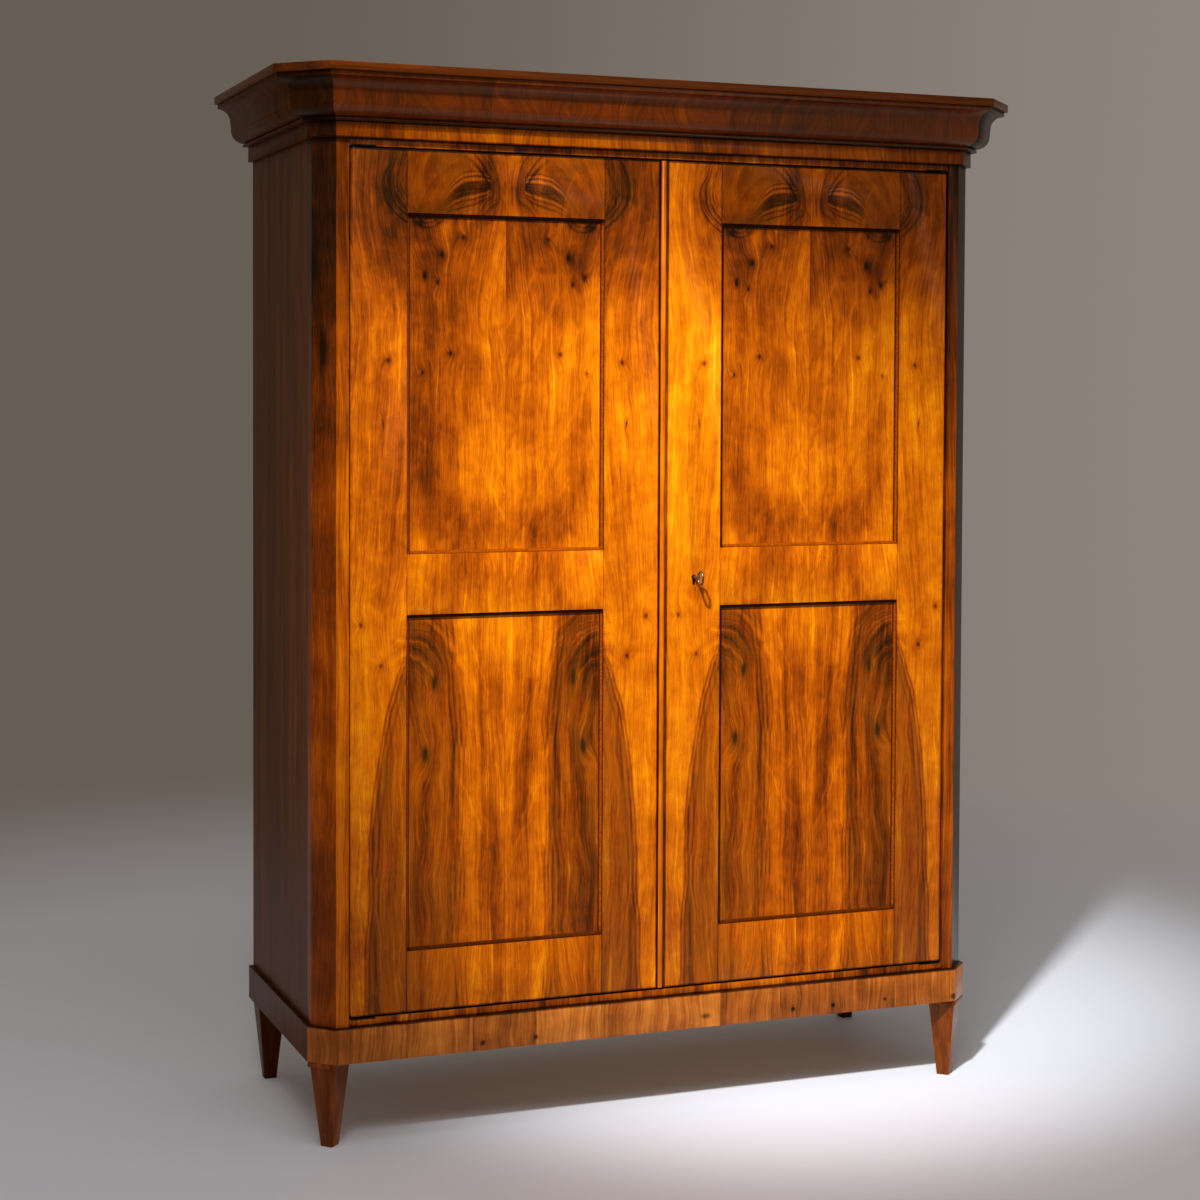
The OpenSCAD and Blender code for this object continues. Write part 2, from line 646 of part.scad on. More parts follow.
// Lock: an iron case on the back of the right leaf, a sliding bolt, its staple and the key
module lock_case() color(iron) difference() {
    block([case_x, case_y, case_z], [case_x + case_w, case_y + case_d, case_z + case_h]);
    block([case_x + case_wall, inside_y, case_z + case_wall],
        [case_x + case_w - case_wall, case_y + case_d - case_wall, case_z + case_h - case_wall]);
    keyhole(case_y - over, inside_y + over, shank_r + shank_fit, bit_t + bolt_gap, bit_out + bolt_gap);
    bolt_way(case_x - over, case_x + case_wall + over);
}
module lock_bolt() color(iron) {
    block([bolt_tip_x, bolt_y, bolt_z], [bolt_tail_x, bolt_y + bolt_t, bolt_z + bolt_h]);
    for (x = [key_x - bit_out, bolt_tail_x - bit_t])
        block([x, bolt_y, bolt_z - talon_h], [x + bit_t, bolt_y + bolt_t, bolt_z]);
}
module lock_staple() color(iron) {
    x = catch_end_x - catch_wall;
    low = bolt_z - bolt_gap;
    high = bolt_z + bolt_h + bolt_gap;
    back = bolt_y + bolt_t + bolt_gap;
    difference() {
        block([x, door_back_y, low - catch_wall], [catch_x, back + catch_wall, high + catch_wall]);
        block([catch_end_x, door_back_y - over, low], [catch_x + over, back, high]);
    }
    for (z = [low - catch_wall - catch_plate_h, high + catch_wall])
        block([x, door_back_y, z], [catch_x, door_back_y + catch_wall, z + catch_plate_h]);
}
module key() color(iron) translate([key_x, 0, lock_z]) {
    tip_y = bolt_y + bit_len + bolt_gap;
    shank_y = front_y - bow_out + bow_r;
    translate([0, shank_y, 0]) rotate([-90, 0, 0]) cylinder(h = tip_y - shank_y, r = shank_r);
    block([-bit_t / 2, bolt_y, -bit_out], [bit_t / 2, bolt_y + bit_len, 0]);
    translate([0, shank_y, 0]) rotate([-90, 0, 0]) cylinder(h = shank_r, r = shank_r + bow_bar_r / 2);
    translate([0, front_y - bow_out, 0]) rotate([0, 90, 0]) for (end = [-1, 1]) {
        translate([end * bow_len / 2, 0, 0]) rotate([0, 0, end > 0 ? -90 : 90])
            rotate_extrude(angle = 180) translate([bow_r, 0]) circle(r = bow_bar_r);
        translate([-bow_len / 2, end * bow_r, 0]) rotate([0, 90, 0]) cylinder(h = bow_len, r = bow_bar_r);
    }
}

// Slide bolts on the back of the left door; z 0 is the end next to the stop
module slide_plate_at(up)
    translate([-slide_x, door_back_y, up ? door_top_z - slide_reach : door_z + slide_reach])
        mirror([0, 0, up ? 1 : 0]) children();
module slide_bolt_plates() color(iron) for (up = [false, true]) slide_plate_at(up) difference() {
    union() {
        block([-staple_w / 2, -slide_plate_t, 0], [staple_w / 2, 0, slide_len]);
        for (z = [0, slide_len * staple_share, slide_len * (1 - staple_share)])
            block([-staple_w / 2, 0, z], [staple_w / 2, staple_d, z + staple_h]);
    }
    translate([0, slide_y - door_back_y, -over]) cylinder(h = slide_len + 2 * over, r = slide_r + slide_fit);
}
module slide_bolt(up) color(iron) slide_plate_at(up) translate([0, slide_y - door_back_y, 0]) {
    cylinder(h = slide_len * (1 - staple_share / 2), r = slide_r);
    translate([0, 0, thumb_z]) rotate([-90, 0, 0])
        cylinder(h = slide_r + thumb_len, r = thumb_r);
}

front_foot(-1);  // foot_front_left
front_foot(1);  // foot_front_right
back_foot(-1);  // foot_back_left
back_foot(1);  // foot_back_right
plinth_front();
plinth_sides();
plinth_corners();
plinth_back();
corner_blocks();
bottom_board();
bottom_rail();
top_rail();
top_board();
door_stops();
bolt_keepers();
side_board(-1);  // side_left
side_board(1);  // side_right
corner_post(-1);  // corner_post_left
corner_post(1);  // corner_post_right
back_stiles();
back_rails();
back_panels();
frieze_front();
frieze_sides();
frieze_corners();
crown_front();
crown_side(-1);  // crown_left
crown_side(1);  // crown_right
crown_corners();
cap_strips();
cornice_back();
dust_board();
shelf(1);  // shelf_1
shelf(2);  // shelf_2
shelf(3);  // shelf_3
shelf(4);  // shelf_4
shelf_battens();
pivot_sockets();
hinge_stile(-1);  // hinge_stile_left
lock_stile_left();
rails(-1);  // rails_left
panel(-1, high_z, top_z);  // upper_panel_left
panel(-1, low_z, mid_z);  // lower_panel_left
panel_mouldings(-1);  // panel_mouldings_left
pivot_pins(-1);  // pivot_pins_left
lock_staple();
slide_bolt_plates();
slide_bolt(true);  // slide_bolt_upper
slide_bolt(false);  // slide_bolt_lower
hinge_stile(1);  // hinge_stile_right
lock_stile_right();
rails(1);  // rails_right
panel(1, high_z, top_z);  // upper_panel_right
panel(1, low_z, mid_z);  // lower_panel_right
panel_mouldings(1);  // panel_mouldings_right
pivot_pins(1);  // pivot_pins_right
meeting_bead();
lock_case();
lock_bolt();
key();
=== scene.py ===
"""Linen cupboard in figured walnut: finishes, small fittings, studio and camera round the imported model.

Lengths are metres in the row frame: +X right, +Y back, +Z up, the floor at zero.
"""
import json
import math

import bmesh
import bpy
import numpy as np
from mathutils import Matrix, Vector

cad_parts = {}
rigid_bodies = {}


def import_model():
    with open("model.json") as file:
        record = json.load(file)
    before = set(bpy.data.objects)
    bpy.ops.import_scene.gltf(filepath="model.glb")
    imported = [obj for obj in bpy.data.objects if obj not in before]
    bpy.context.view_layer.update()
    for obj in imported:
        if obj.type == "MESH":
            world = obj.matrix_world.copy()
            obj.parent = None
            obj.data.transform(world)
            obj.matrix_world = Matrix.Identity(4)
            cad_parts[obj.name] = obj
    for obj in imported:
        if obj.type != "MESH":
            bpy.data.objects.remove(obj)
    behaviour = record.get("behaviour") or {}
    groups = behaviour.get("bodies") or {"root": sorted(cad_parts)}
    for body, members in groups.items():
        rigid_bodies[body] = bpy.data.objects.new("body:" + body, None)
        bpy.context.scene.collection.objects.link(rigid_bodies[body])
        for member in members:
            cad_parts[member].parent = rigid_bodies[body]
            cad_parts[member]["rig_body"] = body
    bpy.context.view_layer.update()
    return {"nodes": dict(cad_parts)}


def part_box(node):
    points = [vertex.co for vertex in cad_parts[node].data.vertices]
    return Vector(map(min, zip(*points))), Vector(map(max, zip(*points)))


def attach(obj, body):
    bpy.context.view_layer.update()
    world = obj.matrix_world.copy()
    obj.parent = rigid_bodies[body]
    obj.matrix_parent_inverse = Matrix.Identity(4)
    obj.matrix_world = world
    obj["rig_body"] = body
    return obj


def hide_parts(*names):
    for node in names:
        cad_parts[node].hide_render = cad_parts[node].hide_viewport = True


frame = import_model()

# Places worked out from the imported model
PANEL_LOW, PANEL_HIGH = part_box("panel_mouldings_left")
DOOR_LOW, DOOR_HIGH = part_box("hinge_stile_left")
DOOR_MIDDLE = -(PANEL_LOW.x + PANEL_HIGH.x) / 2
DOOR_OUTER = abs(DOOR_LOW.x)
DOOR_BACK = DOOR_HIGH.y
DOOR_FOOT = DOOR_LOW.z
DOOR_HEAD = DOOR_HIGH.z
SIDE_INNER = abs(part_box("side_left")[1].x)
POST_INNER = abs(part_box("corner_post_left")[1].x)
# The panels reach into the frame with a tongue, so their boxes are larger than the openings
PANEL_HALF = (PANEL_HIGH.x - PANEL_LOW.x) / 2
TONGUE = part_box("upper_panel_left")[1].z - PANEL_HIGH.z
UPPER_PANEL_TOP = PANEL_HIGH.z
UPPER_PANEL_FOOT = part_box("upper_panel_left")[0].z + TONGUE
LOWER_PANEL_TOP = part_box("lower_panel_left")[1].z - TONGUE
LOWER_PANEL_FOOT = PANEL_LOW.z
# |x| where the front of a post turns into its cut-off corner: the plinth stands 4.1 mm further out
CORNER_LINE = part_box("plinth_front")[1].x - 0.0041
# Heights of the joints between the strips over and under the doors, along which the veneer is darker
JOINTS = (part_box("plinth_front")[1].z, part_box("frieze_front")[0].z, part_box("frieze_front")[1].z)


def shown(red, green, blue):
    """A colour given as it shows on a screen, from 0 to 255, as linear light."""
    def linear(value):
        share = value / 255
        return share / 12.92 if share <= 0.04045 else ((share + 0.055) / 1.055) ** 2.4
    return (linear(red), linear(green), linear(blue), 1.0)


class Finish:
    """A node material on Object coordinates. Each call adds nodes and gives the last one's output."""

    def __init__(self, name):
        self.material = bpy.data.materials.new(name)
        self.material.use_nodes = True
        self.nodes = self.material.node_tree.nodes
        self.links = self.material.node_tree.links
        self.shader = self.nodes["Principled BSDF"]
        place = self.nodes.new("ShaderNodeTexCoord").outputs["Object"]
        self.x, self.y, self.z = self.add("ShaderNodeSeparateXYZ", {"Vector": place}).outputs
        self.normal = self.add("ShaderNodeSeparateXYZ", {"Vector": place.node.outputs["Normal"]}).outputs

    def feed(self, socket, value):
        """Links the socket to another node's output, or sets it to a plain value."""
        if isinstance(value, bpy.types.NodeSocket):
            self.links.new(value, socket)
        else:
            socket.default_value = value

    def add(self, kind, inputs, **settings):
        """A new node with its inputs fed and its settings set."""
        node = self.nodes.new(kind)
        for name, value in settings.items():
            setattr(node, name, value)
        for name, value in inputs.items():
            self.feed(node.inputs[name], value)
        return node

    def calc(self, what, *terms):
        """One step of arithmetic, named as Blender's Math node names it."""
        node = self.nodes.new("ShaderNodeMath")
        node.operation = what
        for socket, term in zip(node.inputs, terms):
            self.feed(socket, term)
        return node.outputs[0]

    def total(self, *terms):
        result = terms[0]
        for term in terms[1:]:
            result = self.calc("ADD", result, term)
        return result

    def times(self, *terms):
        result = terms[0]
        for term in terms[1:]:
            result = self.calc("MULTIPLY", result, term)
        return result

    def mix(self, *pairs):
        """The total of (value, weight) pairs."""
        return self.total(*(self.times(value, weight) for value, weight in pairs))

    def less(self, a, b):
        return self.calc("SUBTRACT", a, b)

    def size(self, value):
        return self.calc("ABSOLUTE", value)

    def length(self, a, b, b_weight=1.0):
        """sqrt(a^2 + b_weight b^2)."""
        return self.calc("SQRT", self.total(self.times(a, a), self.times(b, b, b_weight)))

    def rise(self, value, low, high):
        """From 0 at low to 1 at high, with soft ends."""
        node = self.add("ShaderNodeMapRange", {"Value": value, "From Min": low, "From Max": high},
                        interpolation_type="SMOOTHSTEP")
        return node.outputs[0]

    def step(self, value, edge):
        """From 0 to 1 within a millimetre either way of the edge."""
        return self.rise(value, edge - 0.001, edge + 0.001)

    def point(self, x, y, z):
        return self.add("ShaderNodeCombineXYZ", {"X": x, "Y": y, "Z": z}).outputs[0]

    def own_value(self, number):
        """A value from 0 to 1 that is the same all over one leaf or board, given by its number."""
        node = self.add("ShaderNodeTexWhiteNoise", {"W": number}, noise_dimensions="1D")
        return node.outputs["Value"]

    def from_knot(self, x, y, z):
        """The distance to the nearest of scattered points, in the units of x, y and z."""
        node = self.add("ShaderNodeTexVoronoi", {"Vector": self.point(x, y, z), "Scale": 1.0})
        return node.outputs["Distance"]

    def noise(self, x, y, z, detail=2.0, roughness=0.5, distortion=0.0):
        """Cloudy noise about 0, mostly between -0.25 and 0.25, at three values or (value, scale) pairs."""
        terms = [self.times(*term) if isinstance(term, tuple) else term for term in (x, y, z)]
        node = self.add("ShaderNodeTexNoise", {
            "Vector": self.point(*terms), "Scale": 1.0, "Detail": detail, "Roughness": roughness,
            "Distortion": distortion})
        return self.less(node.outputs[0], 0.5)

    def bump_at(self, u, z, centre_u, centre_z, half_u, half_z):
        """A soft hill: exp(-(du / half_u)^2 - (dz / half_z)^2)."""
        du = self.times(self.less(u, centre_u), 1 / half_u)
        dz = self.times(self.less(z, centre_z), 1 / half_z)
        square = self.total(self.times(du, du), self.times(dz, dz))
        return self.calc("EXPONENT", self.times(square, -1.0))

    def lines(self, value, *rows):
        """Soft lines: each row (centre, half, weight) adds weight exp(-((value - centre) / half)^2)."""
        hills = []
        for centre, half, weight in rows:
            off = self.times(self.less(value, centre), 1 / half)
            hills.append((self.calc("EXPONENT", self.times(off, off, -1.0)), weight))
        return self.mix(*hills)

    def ramp(self, value, stops):
        """Colour by value: stops are (place, colour), from 0 to 1."""
        node = self.add("ShaderNodeValToRGB", {"Fac": value})
        elements = node.color_ramp.elements
        while len(elements) < len(stops):
            elements.new(1.0)
        for element, (place, colour) in zip(elements, stops):
            element.position = place
            element.color = colour
        return node.outputs[0]

    def blend(self, share, first, second):
        """The first colour, going over to the second as the share goes from 0 to 1."""
        node = self.nodes.new("ShaderNodeMix")
        node.data_type = "RGBA"
        for index, value in ((0, share), (6, first), (7, second)):
            self.feed(node.inputs[index], value)
        return node.outputs[2]

    def plain(self, colour, roughness, grain, strength, depth):
        """Sets the shader's colour and roughness, with the grain as a fine bump of a depth in metres."""
        self.feed(self.shader.inputs["Base Color"], colour)
        self.feed(self.shader.inputs["Roughness"], roughness)
        bump = self.add("ShaderNodeBump", {"Height": grain, "Strength": strength, "Distance": depth})
        self.feed(self.shader.inputs["Normal"], bump.outputs[0])
        return self.material

    def polish(self, colour, roughness, grain, depth, coat=0.12):
        """Sets the shader: a shellac coat over wood whose pores are a fine bump."""
        for name, value in (("Specular IOR Level", 0.06 + 1.3 * coat), ("Coat Weight", coat),
                            ("Specular Tint", shown(255, 205, 130)), ("Coat Tint", shown(250, 214, 160)),
                            ("Coat Roughness", 0.14)):
            self.shader.inputs[name].default_value = value
        return self.plain(colour, roughness, grain, 0.35, depth)


# Walnut under shellac, from the darkest streak to the palest
AMBER_STOPS = [
    (0.00, shown(26, 10, 3)), (0.16, shown(66, 26, 3)), (0.32, shown(116, 47, 2)), (0.48, shown(164, 75, 2)),
    (0.64, shown(204, 106, 2)), (0.80, shown(230, 139, 3)), (1.00, shown(250, 180, 22))]
BROWN_STOPS = [
    (0.00, shown(22, 9, 3)), (0.25, shown(58, 24, 5)), (0.50, shown(98, 43, 8)), (0.75, shown(140, 66, 12)),
    (1.00, shown(182, 96, 22))]
WORN_STOPS = [
    (0.00, shown(30, 14, 5)), (0.25, shown(82, 40, 13)), (0.50, shown(152, 80, 26)),
    (0.75, shown(200, 120, 45)), (1.00, shown(234, 162, 78))]
# Walnut on the sides, darker than the front: partly darker wood and partly painted shade
GREY_STOPS = [
    (0.00, shown(34, 15, 3)), (0.35, shown(66, 31, 6)), (0.70, shown(100, 50, 10)),
    (1.00, shown(138, 74, 17))]
SPRUCE_STOPS = [
    (0.00, shown(118, 78, 42)), (0.40, shown(164, 118, 70)), (0.70, shown(190, 146, 94)),
    (1.00, shown(206, 168, 118))]
OLIVE = shown(86, 58, 10)
# Painted shade for the door's edges that face the gaps and the panels' recesses
SHADED_EDGE = shown(52, 24, 8)

# Knots in one leaf: distance from the door's middle, height, half width, half height, and how dark
KNOTS = [
    (0.088, 1.781, 0.0040, 0.0050, 0.30), (0.132, 1.746, 0.0042, 0.0055, 0.36),
    (0.167, 1.705, 0.0036, 0.0080, 0.40), (0.142, 1.692, 0.0032, 0.0050, 0.32),
    (0.115, 1.553, 0.0034, 0.0045, 0.34), (0.172, 1.515, 0.0024, 0.0034, 0.30),
    (0.245, 1.538, 0.0036, 0.0045, 0.32), (0.146, 0.905, 0.0042, 0.0120, 0.46),
    (0.166, 0.763, 0.0050, 0.0110, 0.50), (0.299, 1.024, 0.0042, 0.0050, 0.34),
    (0.259, 0.943, 0.0034, 0.0042, 0.30), (0.255, 1.415, 0.0012, 0.0055, 0.50)]
# Soft shades in one leaf: distance from the middle, height, half width, half height, and how much darker
SHADES = [
    (0.182, 1.808, 0.013, 0.009, 0.20), (0.137, 1.810, 0.010, 0.008, 0.18),
    (0.100, 1.100, 0.150, 0.050, 0.14), (0.120, 1.210, 0.110, 0.055, 0.20),
    (0.175, 1.440, 0.030, 0.200, 0.10), (0.170, 1.760, 0.060, 0.080, 0.20),
    (0.185, 0.950, 0.040, 0.080, 0.14), (0.150, 1.330, 0.040, 0.090, 0.08),
    (0.030, 1.200, 0.050, 0.050, 0.07), (0.120, 1.640, 0.060, 0.030, 0.07),
    (0.235, 1.790, 0.030, 0.110, 0.10), (0.060, 1.900, 0.080, 0.070, 0.06)]
# The eye of the figure over the upper panel: its middle (u, z), and its reach either way
EYE_U, EYE_Z, EYE_WIDE, EYE_HIGH = 0.139, 1.889, 0.117, 0.095
# The dark comma in the eye: where it starts and ends along u, its height there, and how it falls
COMMA_FROM, COMMA_TO, COMMA_TOP, COMMA_SLOPE, COMMA_CURVE = 0.036, 0.137, 1.882, 0.06, 36.0
# The flared figure of the lower half: height of its tip, half widths at the tip and added below
FLAME_TIP, FLAME_HALF, FLAME_FLARE = 0.985, 0.208, 0.088
BELL_U, BELL_Z = 0.160, 0.700


class DoorFinish(Finish):
    """Fields on the veneer of a door, whose two leaves are opened like a book on its middle line.

    side is the distance to the right of that line, u the distance either way, and leaf the sign of
    side. Year rings are level lines of ring(u, z), a straight field that is pushed apart round the
    eye, the bell of the lower half and the knots, so that its level lines run round them. Streaks
    are noise on (ring, z) stretched along z. In a tone, 0 is nearly black and 1 is pale.
    """

    def __init__(self, name, middle):
        super().__init__(name)
        self.side = self.less(self.x, middle)
        self.u = self.size(self.side)
        self.leaf = self.calc("SIGN", self.side)
        self.drift = self.on_leaf(4.0, 0.06, 1.6, detail=2.0)
        self.curl = self.on_leaf(20.0, 0.12, 9.0)
        self.ripple = self.on_leaf(60.0, 0.20, 30.0)
        self.ring = self.year_rings()
        self.broad = self.on_rings(24.0, 0.3, 1.2, roughness=0.55)
        self.streak = self.on_rings(95.0, 0.7, 3.0, roughness=0.65)
        self.fine = self.on_rings(330.0, self.times(self.leaf, 0.5), 9.0, roughness=0.75)
        self.fibre = self.on_rings(1000.0, self.times(self.leaf, 2.0), 26.0, detail=2.0, roughness=0.7)
        self.mottle = self.noise((self.side, 15.0), 3.1, (self.z, 8.0), detail=4.0,
                                 roughness=0.65, distortion=0.5)
        self.cloud = self.on_leaf(7.0, 0.20, 3.6, roughness=0.6)
        self.pores = self.noise((self.side, 1400.0), 5.0, (self.z, 70.0), detail=1.0)
        # Shares of the surface: over the upper panel, on the stiles and between them, and down in the flame
        self.over = self.step(self.z, UPPER_PANEL_TOP - 0.002)
        self.under = self.less(1.0, self.over)
        self.on_stile = self.rise(self.u, PANEL_HALF - 0.001, PANEL_HALF)
        self.between = self.less(1.0, self.on_stile)
        self.low = self.rise(self.z, LOWER_PANEL_TOP + 0.018, LOWER_PANEL_TOP - 0.024)

    def on_leaf(self, across, own, along, detail=3.0, roughness=0.5):
        """Noise in (u, z): across and along are its scales, and own is how far the leaves differ."""
        return self.noise((self.u, across), (self.leaf, own), (self.z, along), detail, roughness)

    def on_rings(self, across, own, along, detail=3.0, roughness=0.5, distortion=0.0):
        """Noise in (ring, z), drawn out along the year rings."""
        return self.noise((self.ring, across), own, (self.z, along), detail, roughness, distortion)

    def year_rings(self):
        """u with drift and curl, less 0.55 (u - EYE_U) at the eye and 0.30 (u - BELL_U) in the bell."""
        at_eye = self.bump_at(self.u, self.z, EYE_U, EYE_Z - 0.020, 0.130, 0.130)
        in_bell = self.bump_at(self.u, self.z, BELL_U, BELL_Z, 0.120, 0.420)
        ring = self.total(self.u, self.mix((self.drift, 0.09), (self.curl, 0.015), (self.ripple, 0.0030)))
        ring = self.less(ring, self.times(self.less(self.u, EYE_U), at_eye, 0.55))
        ring = self.less(ring, self.times(self.less(self.u, BELL_U), in_bell, 0.30))
        knots = [(self.bump_at(self.u, self.z, knot_u, knot_z, 4.0 * half_u, 3.5 * half_z), 0.010)
                 for knot_u, knot_z, half_u, half_z, _ in KNOTS]
        return self.total(ring, self.mix(*knots))

    def ground(self, calm):
        """Tone of the plain wood, with small painted glints of light, and feathers that rise towards the
        middle.
        """
        wave = self.on_rings(30.0, self.times(self.leaf, 0.3), 26.0, detail=2.0, distortion=0.8)
        tone = self.total(0.65, self.mix(
            (self.broad, 0.36), (self.streak, 0.34), (self.fine, 0.46), (self.fibre, 0.44),
            (calm, self.mix((self.mottle, 0.35), (wave, 0.26), (self.cloud, 0.34)))))
        # Painted highlights: small glints on the bright streaks
        glints = self.times(self.rise(self.total(self.streak, self.times(self.fine, 0.5)), 0.10, 0.22),
                            self.rise(self.mottle, -0.06, 0.16))
        slant = self.total(self.z, self.mix((self.u, -2.6), (self.curl, 0.10), (self.drift, 0.20)))
        feather = self.noise((slant, 17.0), (self.leaf, 0.3), (self.u, 9.0), detail=3.0, roughness=0.7)
        feather = self.times(self.rise(feather, 0.06, 0.20), self.rise(self.u, PANEL_HALF, 0.12), calm)
        return self.total(tone, self.mix((glints, 0.10), (feather, 0.09)))

    def flame(self):
        """The dark flared figure of the lower half: its share of the surface, and lines at its edges.

        Its outer edge is at FLAME_HALF + FLAME_FLARE (1 - exp(-4.6 drop)), with drop the way down
        from its tip.
        """
        drop = self.calc("MAXIMUM", self.less(FLAME_TIP, self.z), 0.0)
        flare = self.less(1.0, self.calc("EXPONENT", self.times(drop, -4.6)))
        outer = self.total(FLAME_HALF, self.mix((flare, FLAME_FLARE), (self.curl, 0.016), (self.drift, 0.03)))
        inner = self.total(0.080, self.mix((self.drift, 0.10), (self.curl, 0.012),
                                           (self.rise(self.z, 0.80, 1.03), 0.035)))
        edge = self.less(outer, self.u)
        core = self.less(self.u, inner)
        share = self.times(self.rise(core, -0.012, 0.026), self.rise(edge, -0.003, 0.016), self.low)
        rims = self.lines(edge, (0.003, 0.0022, 1.0), (0.011, 0.0022, 0.9), (0.022, 0.0030, 0.5))
        cores = self.lines(core, (0.000, 0.0016, 1.0), (0.009, 0.0018, 0.8), (0.019, 0.0022, 0.9))
        return share, self.mix((rims, self.rise(drop, -0.01, 0.10)),
                               (cores, self.rise(self.mottle, -0.14, 0.08)))

    def flame_dark(self, flame, rims):
        """How much darker the flame is: less on the frame, and more at the right of the panel."""
        veins = self.mix((self.streak, -0.42), (self.broad, -0.20), (self.mottle, -0.10))
        on_frame = self.calc("MAXIMUM", self.on_stile,
                             self.rise(self.z, LOWER_PANEL_FOOT + 0.001, LOWER_PANEL_FOOT))
        strength = self.total(1.0, self.times(on_frame, -0.28),
                              self.times(self.rise(self.side, 0.06, 0.16), self.less(1.0, on_frame), 0.28))
        return self.total(self.times(flame, strength, self.total(0.24, veins)),
                          self.times(rims, self.low, self.total(0.19, self.times(self.fine, 0.5))))

    def corner_curls(self):
        """Arches of curly wood in the upper corners of the lower panel."""
        here = self.times(self.bump_at(self.u, self.z, 0.168, 0.975, 0.056, 0.075), self.low)
        arch = self.length(self.less(self.u, 0.205),
                           self.calc("MAXIMUM", self.less(self.z, 0.880), 0.0), 0.6)
        arch = self.total(arch, self.mix((self.curl, 0.035), (self.ripple, 0.010)))
        locks = self.noise((arch, 120.0), (self.leaf, 0.3), (self.z, 3.0), detail=3.0, roughness=0.65)
        return self.times(here, self.total(0.05, self.mix((self.streak, 0.40), (locks, 1.15))))

    def eye(self):
        """The eye over the upper panel: its dark arcs, the share of its smooth heart, and its darkness.

        reach is 1 on an ellipse round its middle. Arcs lie on the stile and by the door's middle.
        """
        eye_u = self.less(self.total(self.u, self.mix((self.curl, 0.035), (self.drift, 0.05))), EYE_U)
        eye_z = self.less(self.total(self.z, self.mix((self.drift, 0.08), (self.curl, 0.03))), EYE_Z)
        reach = self.length(self.times(eye_u, 1 / EYE_WIDE), self.times(eye_z, 1 / EYE_HIGH))
        at_middle = self.times(self.rise(self.u, 0.072, 0.046), self.over)
        band = self.times(self.rise(reach, 0.52, 0.72), self.rise(reach, 1.22, 0.94),
                          self.total(self.on_stile, self.times(at_middle, 0.55)))
        rings = self.noise((reach, 17.0), (self.leaf, 0.10), (self.z, 5.0), detail=2.0, roughness=0.6)
        arcs = self.times(band, self.total(self.rise(rings, 0.02, -0.14),
                                           self.rise(self.size(self.total(rings, -0.07)), 0.020, 0.002)))
        heart = self.times(self.rise(reach, 0.95, 0.60), self.over, self.rise(self.u, 0.060, 0.100),
                           self.between)
        off, dark = self.comma()
        swirl = self.noise((off, 24.0), (self.leaf, 0.4), (self.u, 9.0),
                           detail=4.0, roughness=0.6, distortion=0.9)
        plain = self.mix((self.streak, 0.32), (self.fine, 0.34), (self.fibre, 0.24), (self.broad, 0.30),
                         (self.mottle, 0.25), (swirl, -0.42))
        dark = self.total(dark, self.mix((arcs, 0.24), (band, 0.07), (heart, self.total(0.02, plain))))
        return arcs, heart, dark

    def comma(self):
        """The dark comma in the eye: the height over its path, and how much darker it makes the wood.

        With c = u - COMMA_FROM the path falls by c (COMMA_SLOPE + COMMA_CURVE c^2), and fan is the
        height over it in half widths. A stroke climbs from the comma's thick end.
        """
        c = self.calc("MAXIMUM", self.less(self.u, COMMA_FROM), 0.0)
        fall = self.times(c, self.total(COMMA_SLOPE, self.times(c, c, COMMA_CURVE)))
        path = self.less(self.total(COMMA_TOP, self.times(self.curl, 0.014)), fall)
        off = self.total(self.less(self.z, path), self.times(self.ripple, 0.004))
        half = self.total(0.0066, self.times(c, self.total(0.24, self.times(c, -2.5))))
        fan = self.calc("DIVIDE", off, half)
        hairs = self.noise((fan, 2.6), (self.leaf, 0.2), (self.u, 26.0), detail=4.0, roughness=0.7)
        body = self.rise(self.total(self.size(self.total(fan, self.times(self.curl, 0.8))),
                                    self.times(hairs, 2.0)), 1.25, 0.65)
        border = self.lines(self.size(self.total(fan, self.times(self.curl, 0.6))), (0.95, 0.16, 0.45))
        dark = self.total(self.times(body, self.total(0.62, self.times(hairs, 2.6))),
                          self.times(border, self.rise(hairs, -0.2, 0.1)),
                          self.lines(fan, (-1.85, 0.14, 0.5), (-2.75, 0.16, 0.5), (1.95, 0.13, 0.6),
                                     (2.75, 0.12, 0.4)))
        light = self.lines(fan, (1.45, 0.22, 1.0), (2.35, 0.22, 0.7), (-1.40, 0.22, 0.6))
        started = self.rise(self.u, COMMA_FROM - 0.003, COMMA_FROM + 0.003)
        ends = self.times(started, self.over,
                          self.rise(self.total(self.u, self.times(hairs, 0.06)), COMMA_TO, COMMA_TO - 0.030))
        climb = self.total(COMMA_TOP - 0.004, self.times(c, self.total(1.9, self.times(c, -14.0))),
                           self.times(self.curl, 0.010))
        above = self.less(self.z, climb)
        stroke = self.mix((self.bump_at(above, c, 0.0, 0.004, 0.0046, 0.032), 1.0),
                          (self.bump_at(above, c, 0.018, 0.014, 0.0040, 0.030), 0.6))
        stroke = self.times(stroke, self.over, self.rise(self.u, COMMA_FROM - 0.002, COMMA_FROM + 0.002))
        return off, self.total(self.times(ends, self.mix((dark, 0.33), (light, -0.12))),
                               self.times(stroke, 0.34))

    def cups(self):
        """Small nested arcs that hang under the top rail, in the corners of the upper panel."""
        cup = self.length(
            self.less(self.total(self.u, self.mix((self.ripple, 0.008), (self.curl, 0.02))), 0.160),
            self.less(self.total(self.z, self.times(self.curl, 0.02)), 1.826), 1.5)
        arcs = self.lines(cup, (0.012, 0.0035, 1.0), (0.023, 0.0022, 0.7), (0.034, 0.0030, 0.6))
        return self.times(arcs, self.under, self.total(0.20, self.times(self.curl, 0.5)))

